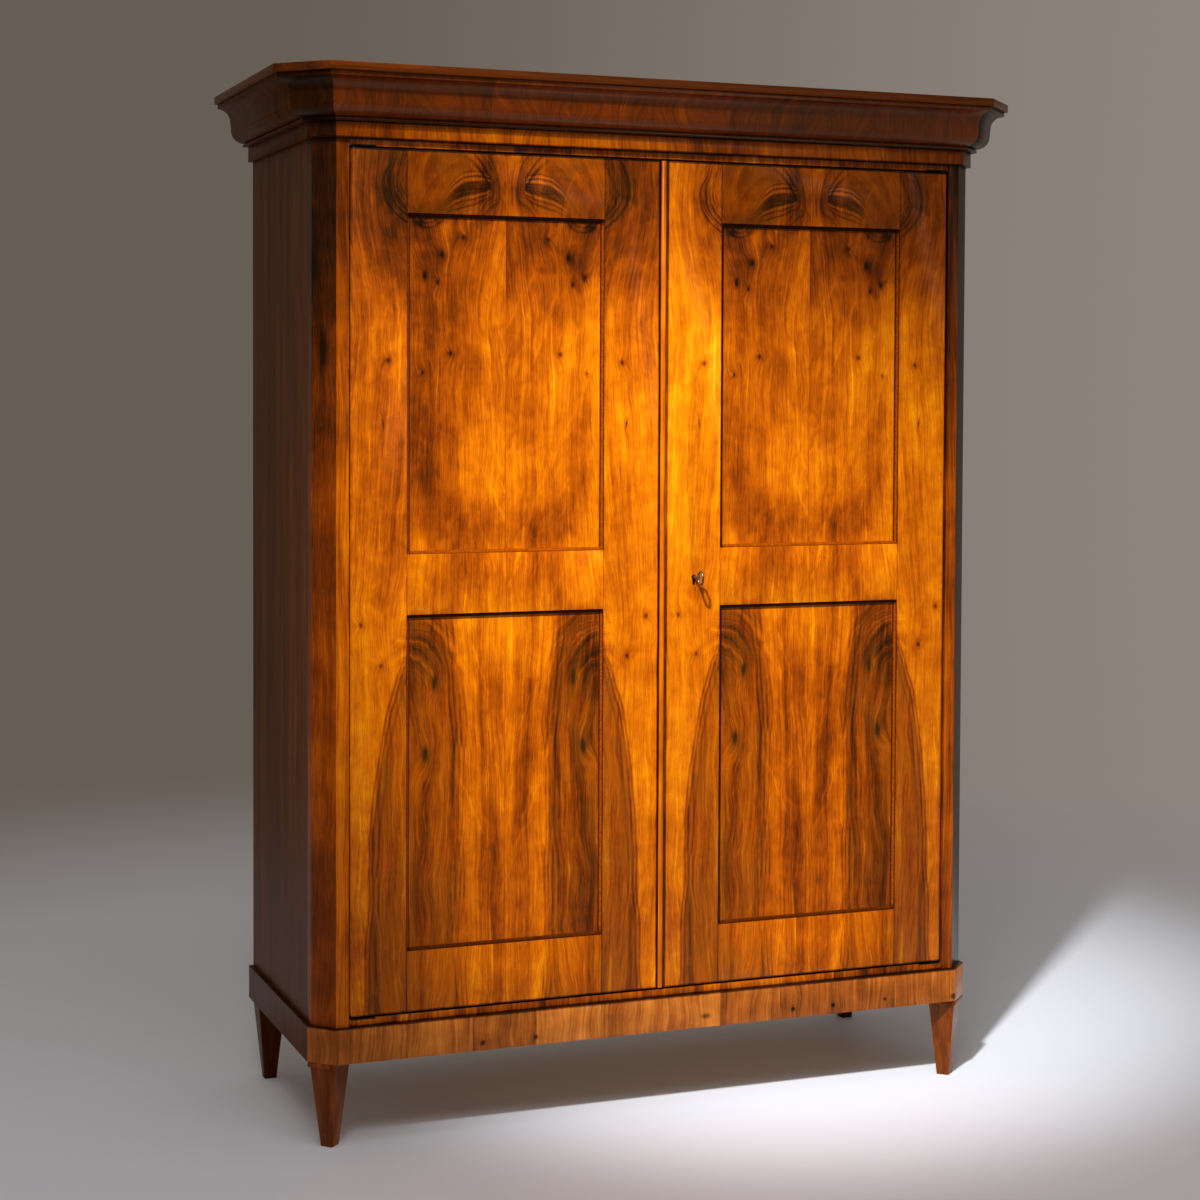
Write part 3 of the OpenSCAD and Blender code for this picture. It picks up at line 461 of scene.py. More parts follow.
    def marks(self):
        """Soft shades with ragged edges, and knots in a darker ring."""
        ragged = self.total(1.0, self.mix((self.curl, 2.6), (self.streak, 1.6)))
        shades = [(self.bump_at(self.total(self.u, self.times(self.curl, 0.03)), self.z, *place), amount)
                  for *place, amount in SHADES]
        knots = []
        for knot_u, knot_z, half_u, half_z, amount in KNOTS:
            moved = self.total(self.u, self.times(self.ripple, 0.008))
            knots.append((self.bump_at(moved, self.z, knot_u, knot_z, half_u, half_z), amount))
            knots.append((self.bump_at(moved, self.z, knot_u, knot_z, 3.0 * half_u, 3.0 * half_z),
                          0.30 * amount))
        return self.total(self.times(ragged, self.mix(*shades)), self.mix(*knots))

    def shading(self, left_stile, left_panel, right_stile, low_panel):
        """How much darker a door's parts are: its stiles, its upper panel and its lower panel. Partly darker
        wood, partly painted shade where the lamp's light falls off, most towards the top.
        """
        in_upper = self.times(self.step(self.z, UPPER_PANEL_FOOT), self.under, self.between)
        halfway = self.times(self.rise(self.z, 1.17, 1.34), self.rise(self.z, 1.76, 1.60), in_upper)
        stile = PANEL_HALF + 0.0005
        at_left = self.rise(self.side, -stile, -stile - 0.001)
        at_right = self.rise(self.side, stile, stile + 0.001)
        by_door = self.total(
            self.times(self.rise(self.side, -0.05, -0.17), self.total(halfway, self.times(in_upper, 0.12)),
                       left_panel),
            self.times(at_left, self.rise(self.z, 1.02, 1.25), left_stile),
            self.times(at_right, self.rise(self.z, 1.30, 1.75), right_stile),
            self.times(in_upper, self.rise(self.z, 1.28, 1.56), self.rise(self.u, 0.19, 0.08), 0.10),
            self.times(self.less(1.0, self.step(self.z, LOWER_PANEL_TOP)), self.rise(self.u, 0.16, 0.06),
                       low_panel))
        # The top is darker partly in the wood and partly as painted shade, where the lamp's light falls off
        high = self.rise(self.z, 1.58, 1.90)
        low_middle = self.times(self.rise(self.z, 1.02, 0.86), self.rise(self.u, 0.13, 0.02))
        by_leaf = self.times(self.leaf, self.rise(self.z, 1.50, 1.78), self.under,
                             self.rise(self.u, 0.110, 0.0))
        return self.total(self.times(by_door, self.total(1.0, self.times(self.cloud, 1.5))),
                          self.mix((high, 0.20), (low_middle, 0.20), (by_leaf, 0.10)))

    def sheen(self):
        """How much paler the middle strip of the lower half and the middle of the foot rail are."""
        middle = self.total(self.side, self.times(self.drift, 0.02))
        strip = self.times(self.lines(middle, (0.006, 0.016, 0.15)), self.rise(self.z, 1.12, 0.98))
        foot_rail = self.times(self.rise(self.z, LOWER_PANEL_FOOT, LOWER_PANEL_FOOT - 0.001),
                               self.rise(self.u, PANEL_HALF, 0.15))
        return self.total(strip, self.times(foot_rail, 0.07))

    def shade_and_dirt(self):
        """Painted shade beside the panels and round the door's edges, where gaps and recesses fall in shade,
        dark pores, and the leaves' dark joint.
        """
        in_rail = self.total(self.over, self.times(self.step(self.z, LOWER_PANEL_TOP),
                                                   self.less(1.0, self.step(self.z, UPPER_PANEL_FOOT))))
        # Painted shade beside the panels, less on the rails
        beside = self.times(self.rise(self.size(self.less(self.u, PANEL_HALF)), 0.0020, 0.0006),
                            self.less(0.60, self.times(in_rail, 0.20)))
        out = self.size(self.x)
        # Painted shade in the gaps by the door's middle, its hinge side, its head and its foot
        edges = self.total(self.rise(out, 0.0125, 0.0102),
                           self.times(self.rise(out, DOOR_OUTER - 0.0022, DOOR_OUTER - 0.0008), 0.35),
                           self.rise(self.z, DOOR_HEAD - 0.0036, DOOR_HEAD - 0.0016),
                           self.rise(self.z, DOOR_FOOT + 0.0036, DOOR_FOOT + 0.0016))
        return self.mix((self.calc("MINIMUM", self.total(beside, edges), 1.0), 0.34),
                        (self.rise(self.u, 0.0010, 0.0003), 0.12), (self.rise(self.pores, 0.10, 0.24), 0.09))


def door_veneer(name, middle, left_stile, left_panel, right_stile, low_panel):
    """Figured veneer of one door. The last four say how much darker its parts are, partly as painted shade.
    """
    f = DoorFinish(name, middle)
    flame, rims = f.flame()
    arcs, heart, eye_dark = f.eye()
    tone = f.total(f.ground(f.less(1.0, f.times(flame, 0.55))), f.sheen())
    # Taken off the tone: the wood's figure, and painted shade towards the top, beside the panels and round
    # the door's edges
    tone = f.less(tone, f.total(f.shading(left_stile, left_panel, right_stile, low_panel),
                                f.flame_dark(flame, rims), f.corner_curls(), eye_dark, f.cups(), f.marks(),
                                f.shade_and_dirt()))
    olive = f.times(f.mix((heart, 0.30), (flame, 0.32), (arcs, 0.25)),
                    f.rise(f.total(f.mottle, f.times(f.streak, 0.6)), -0.16, 0.14))
    colour = f.blend(olive, f.ramp(tone, AMBER_STOPS), OLIVE)
    # The leaf's own edges, which face the gaps and the recesses, are painted dark as shade, and its back is
    # plain wood
    colour = f.blend(f.less(1.0, f.rise(f.size(f.normal["Y"]), 0.25, 0.6)), colour, SHADED_EDGE)
    plain = f.noise((f.x, 40.0), 0.0, (f.z, 2.0), detail=3.0)
    back = f.ramp(f.total(0.45, f.times(plain, 0.9)), BROWN_STOPS)
    colour = f.blend(f.rise(f.normal["Y"], 0.3, 0.6), colour, back)
    rough = f.total(0.36, f.mix((f.fibre, 0.15), (f.mottle, 0.12)))
    return f.polish(colour, rough, f.total(f.mix((f.fine, 0.8), (f.fibre, 0.4)), f.pores), 0.0004)


# Peg ends in the front of the plinth: place along x, height, radius
PLINTH_PLUGS = [
    (-0.3855, 0.1841, 0.0060), (-0.2737, 0.1851, 0.0060), (0.2980, 0.1881, 0.0055), (0.3917, 0.1878, 0.0055),
    (0.5154, 0.1892, 0.0040)]


def cross_veneer(name, seed, stops, leaf_width, light, contrast, coat=0.12, swirl=0.03, plugs=()):
    """Strips laid along x from short leaves whose grain runs up, each with its own tone and figure.

    Plugs are places (x, z, radius) where a peg's end shows.
    """
    f = Finish(name)
    wander = f.times(f.noise((f.x, 2.0), seed, 0.0), 0.05)
    count = f.times(f.total(f.x, wander, seed), 1 / leaf_width)
    leaf = f.calc("FLOOR", count)
    share = f.less(count, leaf)
    own = f.own_value(f.total(leaf, seed))
    curl = f.noise((f.x, 12.0), leaf, (f.z, 11.0), detail=3.0)
    bend = f.noise((f.x, 6.0), (leaf, 3.1), (f.z, 9.0), detail=1.0, distortion=0.6)
    ring = f.total(f.x, f.mix((curl, 0.25 * swirl), (bend, swirl)))
    broad = f.noise((ring, 42.0), (leaf, 5.0), (f.z, 2.0), detail=3.0, roughness=0.6)
    streak = f.noise((ring, 170.0), (leaf, 7.0), (f.z, 5.0), detail=3.0)
    fibre = f.noise((ring, 800.0), seed, (f.z, 30.0), detail=1.0)
    cloud = f.noise((f.x, 14.0), (leaf, 2.0), (f.z, 18.0), detail=3.0, roughness=0.6)
    tone = f.total(light, f.mix((f.less(own, 0.5), 0.24 * contrast), (broad, 0.62 * contrast),
                                (streak, 0.50 * contrast), (fibre, 0.22), (cloud, 0.40 * contrast)))
    seam = f.rise(f.size(f.less(share, 0.5)), 0.4935, 0.4985)
    knot = f.rise(f.from_knot(f.times(f.x, 7.0), seed, f.times(f.z, 14.0)), 0.13, 0.05)
    # Faces that look up are darker: painted shade
    shaded_upward = f.rise(f.normal["Z"], 0.4, 0.8)
    tone = f.less(tone, f.mix((seam, 0.16), (knot, 0.35), (shaded_upward, 0.34)))
    for plug_x, plug_z, radius in plugs:
        off = f.length(f.less(f.x, plug_x), f.less(f.z, plug_z))
        tone = f.less(tone, f.mix((f.rise(off, radius, 0.6 * radius), 0.36),
                                  (f.rise(off, 2.4 * radius, radius), 0.05)))
    for level in JOINTS:
        tone = f.less(tone, f.times(f.rise(f.size(f.less(f.z, level)), 0.0036, 0.0010), 0.30))
    rough = f.total(0.34, f.mix((fibre, 0.2), (broad, 0.1)))
    return f.polish(f.ramp(tone, stops), rough, fibre, 0.0003, coat)


def moulding_veneer(name, middle, left_shade):
    """Slips round the panels: nearly black under a rail, as painted shadow, and red-brown at the right and
    the foot.

    left_shade is how dark painted shadow from the stile makes them at the left.
    """
    f = Finish(name)
    side = f.less(f.x, middle)
    u = f.size(side)
    streak = f.noise((f.x, 260.0), (f.y, 260.0), (f.z, 260.0), detail=3.0)
    upright = f.rise(u, PANEL_HALF - 0.0072, PANEL_HALF - 0.0066)
    # Painted shadow under the rails, and a darker line at the foot of the lower panel
    top = f.lines(f.z, (UPPER_PANEL_TOP - 0.0032, 0.006, 1.0), (LOWER_PANEL_TOP - 0.0032, 0.006, 1.0),
                  (LOWER_PANEL_FOOT + 0.0032, 0.006, 0.6))
    left = f.times(upright, f.rise(side, 0.0, -0.1), left_shade)
    # Painted shade in the creases beside the frame and beside the panel
    edges = f.times(upright, f.total(f.rise(u, PANEL_HALF - 0.0014, PANEL_HALF - 0.0006),
                                     f.rise(u, PANEL_HALF - 0.0046, PANEL_HALF - 0.0056)))
    shade = f.calc("MINIMUM", f.total(top, left), 1.0)
    tone = f.total(0.37, f.mix((streak, 0.4), (shade, -0.36), (edges, -0.20)))
    return f.polish(f.ramp(tone, AMBER_STOPS), 0.42, streak, 0.0003, 0.0)


def along_grain(f, along):
    """The coordinate along the grain, and the two across it."""
    return {"x": (f.x, f.y, f.z), "z": (f.z, f.x, f.y)}[along]


def long_grain(name, along, seed, stops, light, contrast=1.0, coat=0.10, inside=None, ledge_shade=0.0):
    """Wood with its grain along one axis.

    inside is where bare softwood starts, as |x| in metres, and ledge is how much painted shade darkens the
    faces that look up.
    """
    f = Finish(name)
    run, first, second = along_grain(f, along)
    drift = f.noise((run, 2.2), (first, 4.0), (second, 4.0), detail=2.0)
    a = f.total(first, f.times(drift, 0.05), seed)
    b = f.total(second, f.times(drift, 0.05))
    broad = f.noise((a, 34.0), (b, 34.0), (run, 1.2), detail=3.0, roughness=0.55)
    streak = f.noise((a, 150.0), (b, 150.0), (run, 3.0), detail=3.0, roughness=0.6)
    fibre = f.noise((a, 700.0), (b, 700.0), (run, 22.0), detail=1.0)
    shaded_upward = f.rise(f.normal["Z"], 0.4, 0.8)
    tone = f.total(light, f.mix((broad, 0.60 * contrast), (streak, 0.42 * contrast), (fibre, 0.16),
                                (shaded_upward, -ledge_shade)))
    colour = f.ramp(tone, stops)
    if inside is not None:
        bare = f.ramp(f.total(0.5, f.times(streak, 0.8)), SPRUCE_STOPS)
        colour = f.blend(f.rise(f.size(f.x), inside + 0.0008, inside + 0.0002), colour, bare)
    return f.polish(colour, f.total(0.34, f.times(fibre, 0.2)), fibre, 0.0003, coat)


def bead_veneer(name):
    """The half-round bead between the doors: painted shade darkens it along its sides, which leaves its crest
    bright.
    """
    f = Finish(name)
    streak = f.noise((f.x, 300.0), (f.y, 300.0), (f.z, 7.0), detail=3.0, roughness=0.6)
    cloud = f.noise(f.x, f.y, (f.z, 9.0), detail=3.0)
    # Painted shade on the bead's sides
    beside = f.rise(f.size(f.x), 0.0046, 0.0062)
    tone = f.total(0.58, f.mix((streak, 0.5), (cloud, 0.5), (beside, -0.48)))
    return f.polish(f.ramp(tone, AMBER_STOPS), 0.34, streak, 0.0003)


# The long knot on the cut-off corner of the left post: its place in y and z
CORNER_KNOT_Y, CORNER_KNOT_Z = -0.212, 1.555


def post_veneer(name):
    """An amber strip beside the door, and quieter wood on the cut-off corner, darker partly in its colour and
    partly as painted shade.
    """
    f = Finish(name)
    out = f.size(f.x)
    side = f.calc("SIGN", f.x)
    at_left, at_right = f.rise(side, 0.0, -0.5), f.rise(side, 0.0, 0.5)
    drift = f.noise((side, 3.0), (f.y, 3.0), (f.z, 2.0), detail=2.0)
    knot = f.times(f.bump_at(f.y, f.z, CORNER_KNOT_Y, CORNER_KNOT_Z, 0.018, 0.075), at_left)
    a = f.total(out, f.times(drift, 0.06), f.times(knot, f.less(f.y, CORNER_KNOT_Y), 0.8))
    broad = f.noise((a, 40.0), (side, 2.0), (f.z, 1.3), detail=3.0, roughness=0.55)
    streak = f.noise((a, 170.0), (f.y, 60.0), (f.z, 3.2), detail=3.0, roughness=0.6)
    fibre = f.noise((a, 700.0), (f.y, 500.0), (f.z, 20.0), detail=1.0)
    cloud = f.noise((a, 9.0), (side, 3.0), (f.z, 6.0), detail=4.0, roughness=0.6)
    corner = f.rise(out, CORNER_LINE + 0.0004, CORNER_LINE + 0.0012)
    core = f.bump_at(f.total(f.y, f.times(streak, 0.01)), f.z, CORNER_KNOT_Y, CORNER_KNOT_Z, 0.006, 0.040)
    calm = f.less(1.0, f.times(corner, 0.60))
    tone = f.total(0.575, f.times(calm, f.mix((broad, 0.60), (streak, 0.50))),
                   f.mix((fibre, 0.30), (cloud, 0.60)))
    # Painted shade towards the top, where the lamp's light falls off, and beside the doors; the corner's
    # darkness is partly painted shade
    tone = f.less(tone, f.mix(
        (corner, f.total(0.26, f.times(at_right, 0.12))),
        (f.rise(f.z, 1.15, 1.88), f.total(0.24, f.times(corner, 0.03))),
        (at_right, 0.17), (f.rise(out, POST_INNER + 0.0016, POST_INNER + 0.0004), 0.16),
        (core, f.times(at_left, 0.30))))
    return f.polish(f.ramp(tone, AMBER_STOPS), f.total(0.36, f.times(fibre, 0.2)), fibre, 0.0003)


# Width of one spruce board
BOARD_WIDTH = 0.19


def softwood(name, along, seed):
    """Planed spruce darkened with age: year rings on a slow slant, small knots, no polish."""
    f = Finish(name)
    run, first, second = along_grain(f, along)
    drift = f.noise((run, 1.4), (first, 3.0), (second, 3.0), detail=2.0)
    a = f.total(first, second, f.times(drift, 0.10), seed)
    rings = f.noise((a, 120.0), seed, (run, 0.9), detail=2.0, roughness=0.6)
    fibre = f.noise((first, 600.0), (second, 600.0), (run, 14.0), detail=2.0)
    own = f.own_value(f.calc("FLOOR", f.times(f.total(first, seed), 1 / BOARD_WIDTH)))
    knot = f.rise(f.from_knot(f.times(run, 1.7), f.times(first, 5.0), seed), 0.075, 0.03)
    tone = f.total(0.55, f.mix((rings, 0.9), (fibre, 0.35), (f.less(own, 0.5), 0.16), (knot, -0.5)))
    return f.plain(f.ramp(tone, SPRUCE_STOPS), f.total(0.72, f.times(fibre, 0.3)), f.total(rings, fibre),
                   0.4, 0.0005)


def iron(name, level, rough):
    """Filed iron with a brown bloom. level is its brightness on a screen, from 0 to 255."""
    f = Finish(name)
    cloud = f.noise((f.x, 90.0), (f.y, 90.0), (f.z, 90.0), detail=4.0, roughness=0.65)
    file_marks = f.noise((f.x, 300.0), (f.y, 300.0), (f.z, 2500.0), detail=1.0)
    colour = f.ramp(f.total(0.5, f.times(cloud, 1.6)), [
        (0.0, shown(level * 0.55, level * 0.42, level * 0.30)),
        (0.5, shown(level, level * 0.86, level * 0.70)),
        (1.0, shown(level * 1.30, level * 1.20, level * 1.05))])
    f.shader.inputs["Metallic"].default_value = 0.9
    return f.plain(colour, f.total(rough, f.mix((cloud, 0.35), (file_marks, 0.2))),
                   f.total(cloud, file_marks), 0.3, 0.0002)


# One finish for each kind of surface
door_left_finish = door_veneer("door_veneer_left", -DOOR_MIDDLE, 0.15, 0.24, 0.16, 0.02)
door_right_finish = door_veneer("door_veneer_right", DOOR_MIDDLE, -0.06, 0.13, 0.09, 0.08)
crown_finish = cross_veneer("crown_veneer", 4.3, AMBER_STOPS, 0.170, 0.27, 0.48, 0.36, swirl=0.14)
# The cut-off corners of the crown and the frieze: their veneers made much darker, as painted shade
crown_corner_shaded_finish = cross_veneer("crown_corner_shaded_veneer", 5.9, AMBER_STOPS, 0.170, 0.03, 0.50, 0.10,
                                   swirl=0.10)
frieze_corner_shaded_finish = cross_veneer("frieze_corner_shaded_veneer", 8.2, AMBER_STOPS, 0.150, 0.09, 0.6)
frieze_finish = cross_veneer("frieze_veneer", 9.1, AMBER_STOPS, 0.150, 0.44, 0.9, swirl=0.05)
plinth_finish = cross_veneer("plinth_veneer", 2.7, WORN_STOPS, 0.135, 0.54, 1.05, plugs=PLINTH_PLUGS)
strip_finish = cross_veneer("strip_veneer", 6.2, AMBER_STOPS, 0.120, 0.44, 1.2, swirl=0.02)
post_finish = post_veneer("post_veneer")
side_finish = long_grain("side_veneer", "z", 5.5, GREY_STOPS, 0.56, 1.7, 0.0, inside=SIDE_INNER)
side_trim_finish = long_grain("side_trim_veneer", "z", 8.5, GREY_STOPS, 0.50, 1.2, 0.0, ledge_shade=0.40)
cap_finish = long_grain("cap_walnut", "x", 3.3, BROWN_STOPS, 0.46)
bead_finish = bead_veneer("bead_walnut")
moulding_left_finish = moulding_veneer("moulding_walnut_left", -DOOR_MIDDLE, 0.1)
moulding_right_finish = moulding_veneer("moulding_walnut_right", DOOR_MIDDLE, 0.8)
foot_finish = long_grain("foot_walnut", "z", 6.6, BROWN_STOPS, 0.56, 1.3)
# The back feet: the feet's walnut made darker, as painted shade
back_foot_shaded_finish = long_grain("back_foot_shaded_walnut", "z", 7.9, BROWN_STOPS, 0.32, 1.1, 0.0)
shelf_finish = softwood("shelf_spruce", "x", 0.4)
back_finish = softwood("back_spruce", "z", 1.7)
iron_finish = iron("fitting_iron", 88, 0.42)
pivot_finish = iron("pivot_iron", 34, 0.60)
key_finish = iron("key_iron", 120, 0.30)


def by_node(*rows):
    """A table from node to value, from rows of (value, names of nodes)."""
    return {node: value for value, nodes in rows for node in nodes.split()}


FINISHES = by_node(
    (foot_finish, "foot_front_left foot_front_right"),
    (back_foot_shaded_finish, "foot_back_left foot_back_right"),
    (plinth_finish, "plinth_front plinth_corners"),
    (side_trim_finish, "plinth_sides frieze_sides crown_left crown_right"),
    (shelf_finish, "plinth_back corner_blocks bottom_board top_board back_rails door_stops cornice_back "
                   "dust_board shelf_battens shelf_1 shelf_2 shelf_3 shelf_4"),
    (strip_finish, "bottom_rail top_rail"),
    (side_finish, "side_left side_right"),
    (post_finish, "corner_post_left corner_post_right"),
    (back_finish, "back_stiles back_panels"),
    (frieze_finish, "frieze_front"),
    (frieze_corner_shaded_finish, "frieze_corners"),
    (crown_finish, "crown_front"),
    (crown_corner_shaded_finish, "crown_corners"),
    (cap_finish, "cap_strips"),
    (door_left_finish, "hinge_stile_left lock_stile_left rails_left upper_panel_left lower_panel_left"),
    (door_right_finish, "hinge_stile_right lock_stile_right rails_right upper_panel_right lower_panel_right"),
    (moulding_left_finish, "panel_mouldings_left"),
    (moulding_right_finish, "panel_mouldings_right"),
    (bead_finish, "meeting_bead"),
    (iron_finish, "bolt_keepers lock_staple slide_bolt_plates slide_bolt_upper slide_bolt_lower lock_case "
                  "lock_bolt"),
    (pivot_finish, "pivot_sockets pivot_pins_left pivot_pins_right"),
    (key_finish, "key"))

# Edges that a plane and years of polishing have rounded: how wide, in metres
ROUNDED = by_node(
    (0.0012, "cap_strips"),
    (0.0010, "plinth_front plinth_sides foot_front_left foot_front_right foot_back_left foot_back_right"),
    (0.0008, "plinth_corners corner_post_left corner_post_right bottom_rail top_rail"),
    (0.0006, "frieze_front frieze_corners frieze_sides crown_front crown_corners crown_left crown_right"),
    (0.0005, "hinge_stile_left hinge_stile_right lock_stile_left lock_stile_right rails_left rails_right "
             "panel_mouldings_left panel_mouldings_right"),
    (0.0004, "meeting_bead"))


def linked(name, data):
    """A new object in the scene."""
    item = bpy.data.objects.new(name, data)
    bpy.context.scene.collection.objects.link(item)
    return item


def surface(name, points, faces, finish):
    """A new object with the given points and faces, in one finish."""
    mesh = bpy.data.meshes.new(name)
    mesh.from_pydata(points.tolist(), [], faces)
    mesh.materials.append(finish)
    return linked(name, mesh)


def rounded_copy(node, width):
    """The node's own mesh, merged, with every sharp edge rounded to the given width."""
    source = frame["nodes"][node]
    mesh = source.data.copy()
    mesh.name = node + "_rounded"
    work = bmesh.new()
    work.from_mesh(mesh)
    bmesh.ops.remove_doubles(work, verts=work.verts, dist=1e-6)
    bmesh.ops.dissolve_limit(work, angle_limit=math.radians(0.4), verts=work.verts, edges=work.edges)
    for face in work.faces:
        face.smooth = True
    work.to_mesh(mesh)
    work.free()
    piece = linked(node + "_rounded", mesh)
    bevel = piece.modifiers.new("edges", "BEVEL")
    bevel.width = width
    bevel.segments = 2
    bevel.limit_method = "ANGLE"
    bevel.angle_limit = math.radians(30)
    bevel.harden_normals = True
    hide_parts(node)
    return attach(piece, source["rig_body"])


for node, finish in FINISHES.items():
    piece = rounded_copy(node, ROUNDED[node]) if node in ROUNDED else frame["nodes"][node]
    piece.data.materials.clear()
    piece.data.materials.append(finish)

# Screws on the iron at the back of the doors: piece, its body, the face's place in y, head radius, (x, z)
SCREWS = [
    ("lock_case_screws", "door_right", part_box("lock_case")[1].y, 0.0034,
     [(0.0155, 1.0705), (0.0885, 1.0705), (0.0155, 1.1295), (0.0885, 1.1295)]),
    ("staple_screws", "door_left", DOOR_BACK + 0.0025, 0.0028, [(-0.01625, 1.1080), (-0.01625, 1.1400)]),
    ("slide_plate_screws", "door_left", DOOR_BACK, 0.0024,
     [(-0.0670, 0.2910), (-0.0530, 0.2910), (-0.0670, 0.3600), (-0.0530, 0.3600), (-0.0600, 0.4110),
      (-0.0670, 1.9142), (-0.0530, 1.9142), (-0.0670, 1.8452), (-0.0530, 1.8452), (-0.0600, 1.7942)])]


def disc(turns, rings):
    """A disc of rings round a middle point, all at z 0 and looking up.

    It gives each point's distance rho and turn, the fan of triangles round the middle, and the
    quads between the rings.
    """
    step = np.arange(turns)
    after = (step + 1) % turns
    rho = np.concatenate([[0.0], np.repeat(rings, turns)])
    turn = np.concatenate([[0.0], np.tile(np.linspace(0.0, 2 * math.pi, turns, endpoint=False), len(rings))])
    fan = np.stack([np.zeros(turns, int), 1 + step, 1 + after], axis=1)
    base = 1 + turns * np.arange(len(rings) - 1)[:, None]
    quads = np.stack([base + step, base + turns + step, base + turns + after, base + after], axis=-1)
    return rho, turn, fan, quads.reshape(-1, 4)


def screw_heads(name, body, face, radius, places):
    """Domed heads that look along +Y: height 0.3 radius (1 - rho^2), with rho the share of the radius.

    A slot goes 0.16 radius into them, where |rho sin(turn - slot_turn)| is under 0.16.
    """
    rho, turn, fan, quads = disc(28, np.linspace(0.0, 1.0, 9)[1:])
    points, faces = [], []
    for index, (x, z) in enumerate(places):
        slot_turn = 0.7 * index + 0.4
        slot = 1 / (1 + np.exp((np.abs(rho * np.sin(turn - slot_turn)) - 0.16) / 0.02))
        height = 0.30 * radius * (1 - rho ** 2) - 0.16 * radius * slot * (rho < 0.99)
        points.append(np.stack([x + radius * rho * np.cos(turn), face + height,
                                z + radius * rho * np.sin(turn)], axis=1))
        first = index * len(rho)
        faces += (fan[:, [0, 2, 1]] + first).tolist() + (quads[:, [0, 3, 2, 1]] + first).tolist()
    piece = surface(name, np.vstack(points), faces, pivot_finish)
    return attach(piece, body)


for screw_group in SCREWS:
    screw_heads(*screw_group)

# Studio: a pale floor that fades into the grey of the room, soft lamps and the photograph's camera
FLOOR_REACH = 14.0
# Distances from the middle at which the floor starts and ends to fade
FLOOR_FADE = (1.8, 4.4)
# The room's light on the object, and its grey at the left and the right of the picture
ROOM_LIGHT = (0.233, 0.212, 0.190, 1.0)
ROOM_LEFT, ROOM_RIGHT = shown(102, 93, 84), shown(143, 134, 127)


def studio_floor():
    """A flat disc, points (rho cos(turn), rho sin(turn), 0), painted and clear towards its rim."""
    rho, turn, fan, quads = disc(96, np.linspace(0.0, FLOOR_REACH, 24)[1:])
    points = np.stack([rho * np.cos(turn), rho * np.sin(turn), np.zeros(len(rho))], axis=1)
    f = Finish("floor_paint")
    cloud = f.noise((f.x, 0.8), (f.y, 0.8), 0.0, detail=2.0)
    f.feed(f.shader.inputs["Base Color"], f.ramp(f.total(0.5, f.times(cloud, 0.3)), [
        (0.0, shown(226, 229, 238)), (1.0, shown(232, 235, 243))]))
    f.shader.inputs["Roughness"].default_value = 0.55
    clear = f.add("ShaderNodeBsdfTransparent", {})
    faded = f.add("ShaderNodeMixShader", {0: f.rise(f.length(f.x, f.y), *FLOOR_FADE),
                                          1: f.shader.outputs[0], 2: clear.outputs[0]})
    f.links.new(faded.outputs[0], f.nodes["Material Output"].inputs["Surface"])
    floor = surface("studio_floor", points, fan.tolist() + quads.tolist(), f.material)


def room():
    """Grey room: plain light for the object, and a quiet gradient where the camera looks past it."""
    world = bpy.data.worlds.new("room")
    bpy.context.scene.world = world
    world.use_nodes = True
    nodes, links = world.node_tree.nodes, world.node_tree.links
    background = nodes["Background"]
    direction = nodes.new("ShaderNodeSeparateXYZ")
    links.new(nodes.new("ShaderNodeTexCoord").outputs["Generated"], direction.inputs[0])
    spread = nodes.new("ShaderNodeMapRange")
    spread.interpolation_type = "SMOOTHSTEP"
    spread.inputs["From Min"].default_value = 0.20
    spread.inputs["From Max"].default_value = 0.63
    links.new(direction.outputs["X"], spread.inputs["Value"])
    gradient = nodes.new("ShaderNodeMix")
    gradient.data_type = "RGBA"
    gradient.inputs[6].default_value = ROOM_LEFT
    gradient.inputs[7].default_value = ROOM_RIGHT
    links.new(spread.outputs[0], gradient.inputs[0])
    path = nodes.new("ShaderNodeLightPath")
    seen = nodes.new("ShaderNodeMath")
    seen.operation = "MAXIMUM"
    links.new(path.outputs["Is Camera Ray"], seen.inputs[0])
    links.new(path.outputs["Is Glossy Ray"], seen.inputs[1])
    pick = nodes.new("ShaderNodeMix")
    pick.data_type = "RGBA"
    pick.inputs[6].default_value = ROOM_LIGHT
    links.new(seen.outputs[0], pick.inputs[0])
    links.new(gradient.outputs[2], pick.inputs[7])
    links.new(pick.outputs[2], background.inputs["Color"])
    background.inputs["Strength"].default_value = 1.0


def aimed(name, kind, place, aim, power):
    """A light at a place, turned towards aim, with its power in watts."""
    data = bpy.data.lights.new(name, kind)
    data.energy = power
    item = linked(name, data)
    item.location = place
    item.rotation_euler = (Vector(aim) - Vector(place)).to_track_quat("-Z", "Y").to_euler()
    return data


def lamp(name, place, aim, size, power):
    """A soft lamp of the given width and height."""
    data = aimed(name, "AREA", place, aim, power)
    data.shape = "RECTANGLE"
    data.size, data.size_y = size


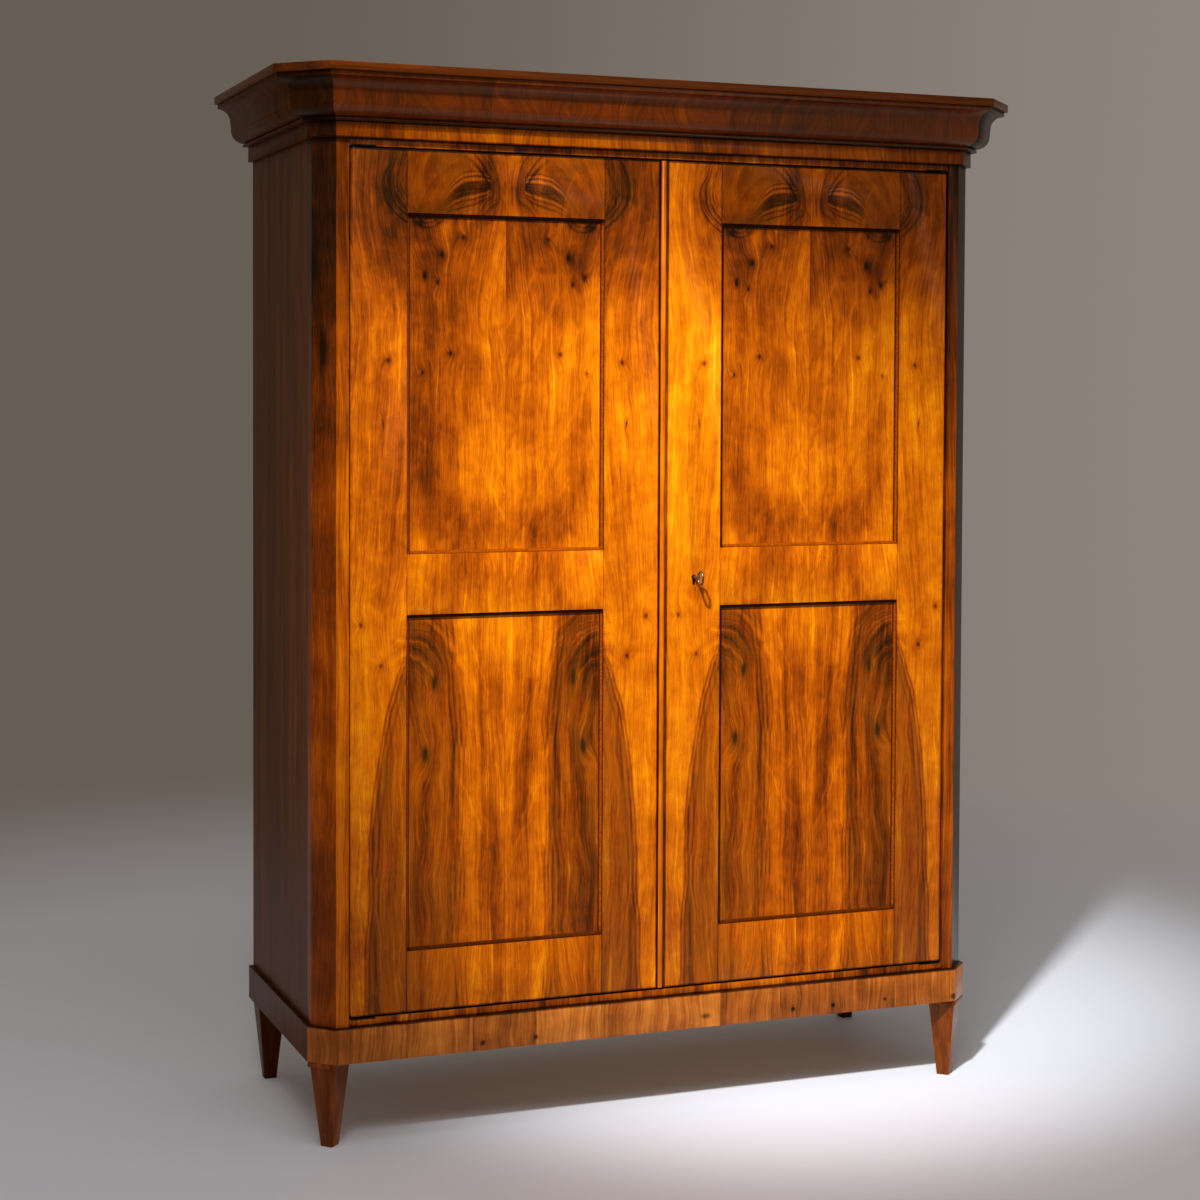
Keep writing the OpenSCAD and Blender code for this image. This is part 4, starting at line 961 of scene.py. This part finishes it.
def spot(name, place, aim, degrees, power):
    """A narrow lamp whose light fades towards the edge of its cone."""
    data = aimed(name, "SPOT", place, aim, power)
    data.spot_size = math.radians(degrees)
    data.spot_blend = 1.0
    data.shadow_soft_size = 0.16


# Camera fitted to the photograph, which is 1200 pixels square
FRAME_PIXELS = 1200
CAMERA_PLACE = (-1.8151, -4.5442, 1.4727)
CAMERA_YAW, CAMERA_PITCH, CAMERA_ROLL = 0.3712, -0.0327, 0.0042
FOCAL_PIXELS = 2297.1
AXIS_PIXEL = (600, 470)
SENSOR = 36.0


def camera():
    """The photograph's camera: turned by yaw, pitch and roll, with its axis through AXIS_PIXEL."""
    data = bpy.data.cameras.new("camera")
    item = linked("camera", data)
    yaw, pitch, roll = CAMERA_YAW, CAMERA_PITCH, CAMERA_ROLL
    right = Vector((math.cos(yaw), -math.sin(yaw), 0.0))
    ahead = Vector((math.sin(yaw) * math.cos(pitch), math.cos(yaw) * math.cos(pitch), math.sin(pitch)))
    up = right.cross(ahead)
    across = right * math.cos(roll) + up * math.sin(roll)
    above = -right * math.sin(roll) + up * math.cos(roll)
    turned = Matrix((across, above, -ahead)).transposed().to_4x4()
    item.matrix_world = Matrix.Translation(CAMERA_PLACE) @ turned
    data.sensor_width = SENSOR
    data.lens = FOCAL_PIXELS / FRAME_PIXELS * SENSOR
    data.shift_x = (FRAME_PIXELS / 2 - AXIS_PIXEL[0]) / FRAME_PIXELS
    data.shift_y = (AXIS_PIXEL[1] - FRAME_PIXELS / 2) / FRAME_PIXELS
    bpy.context.scene.camera = item


studio_floor()
room()
lamp("key_lamp", (-2.2, -4.2, 5.0), (0.0, -0.2, 0.9), (1.4, 1.4), 52.0)
spot("door_lamp", (-2.7, -3.75, 5.4), (0.17, -0.23, 0.86), 18.4, 3000.0)
lamp("floor_lamp", (-0.8, -2.6, 5.2), (-0.8, -2.6, 0.0), (3.0, 3.0), 54.0)
lamp("crown_lamp", (2.1, -4.85, 2.82), (0.0, -0.3, 2.1), (2.6, 0.35), 5.0)
camera()
bpy.context.scene.view_settings.view_transform = "Standard"
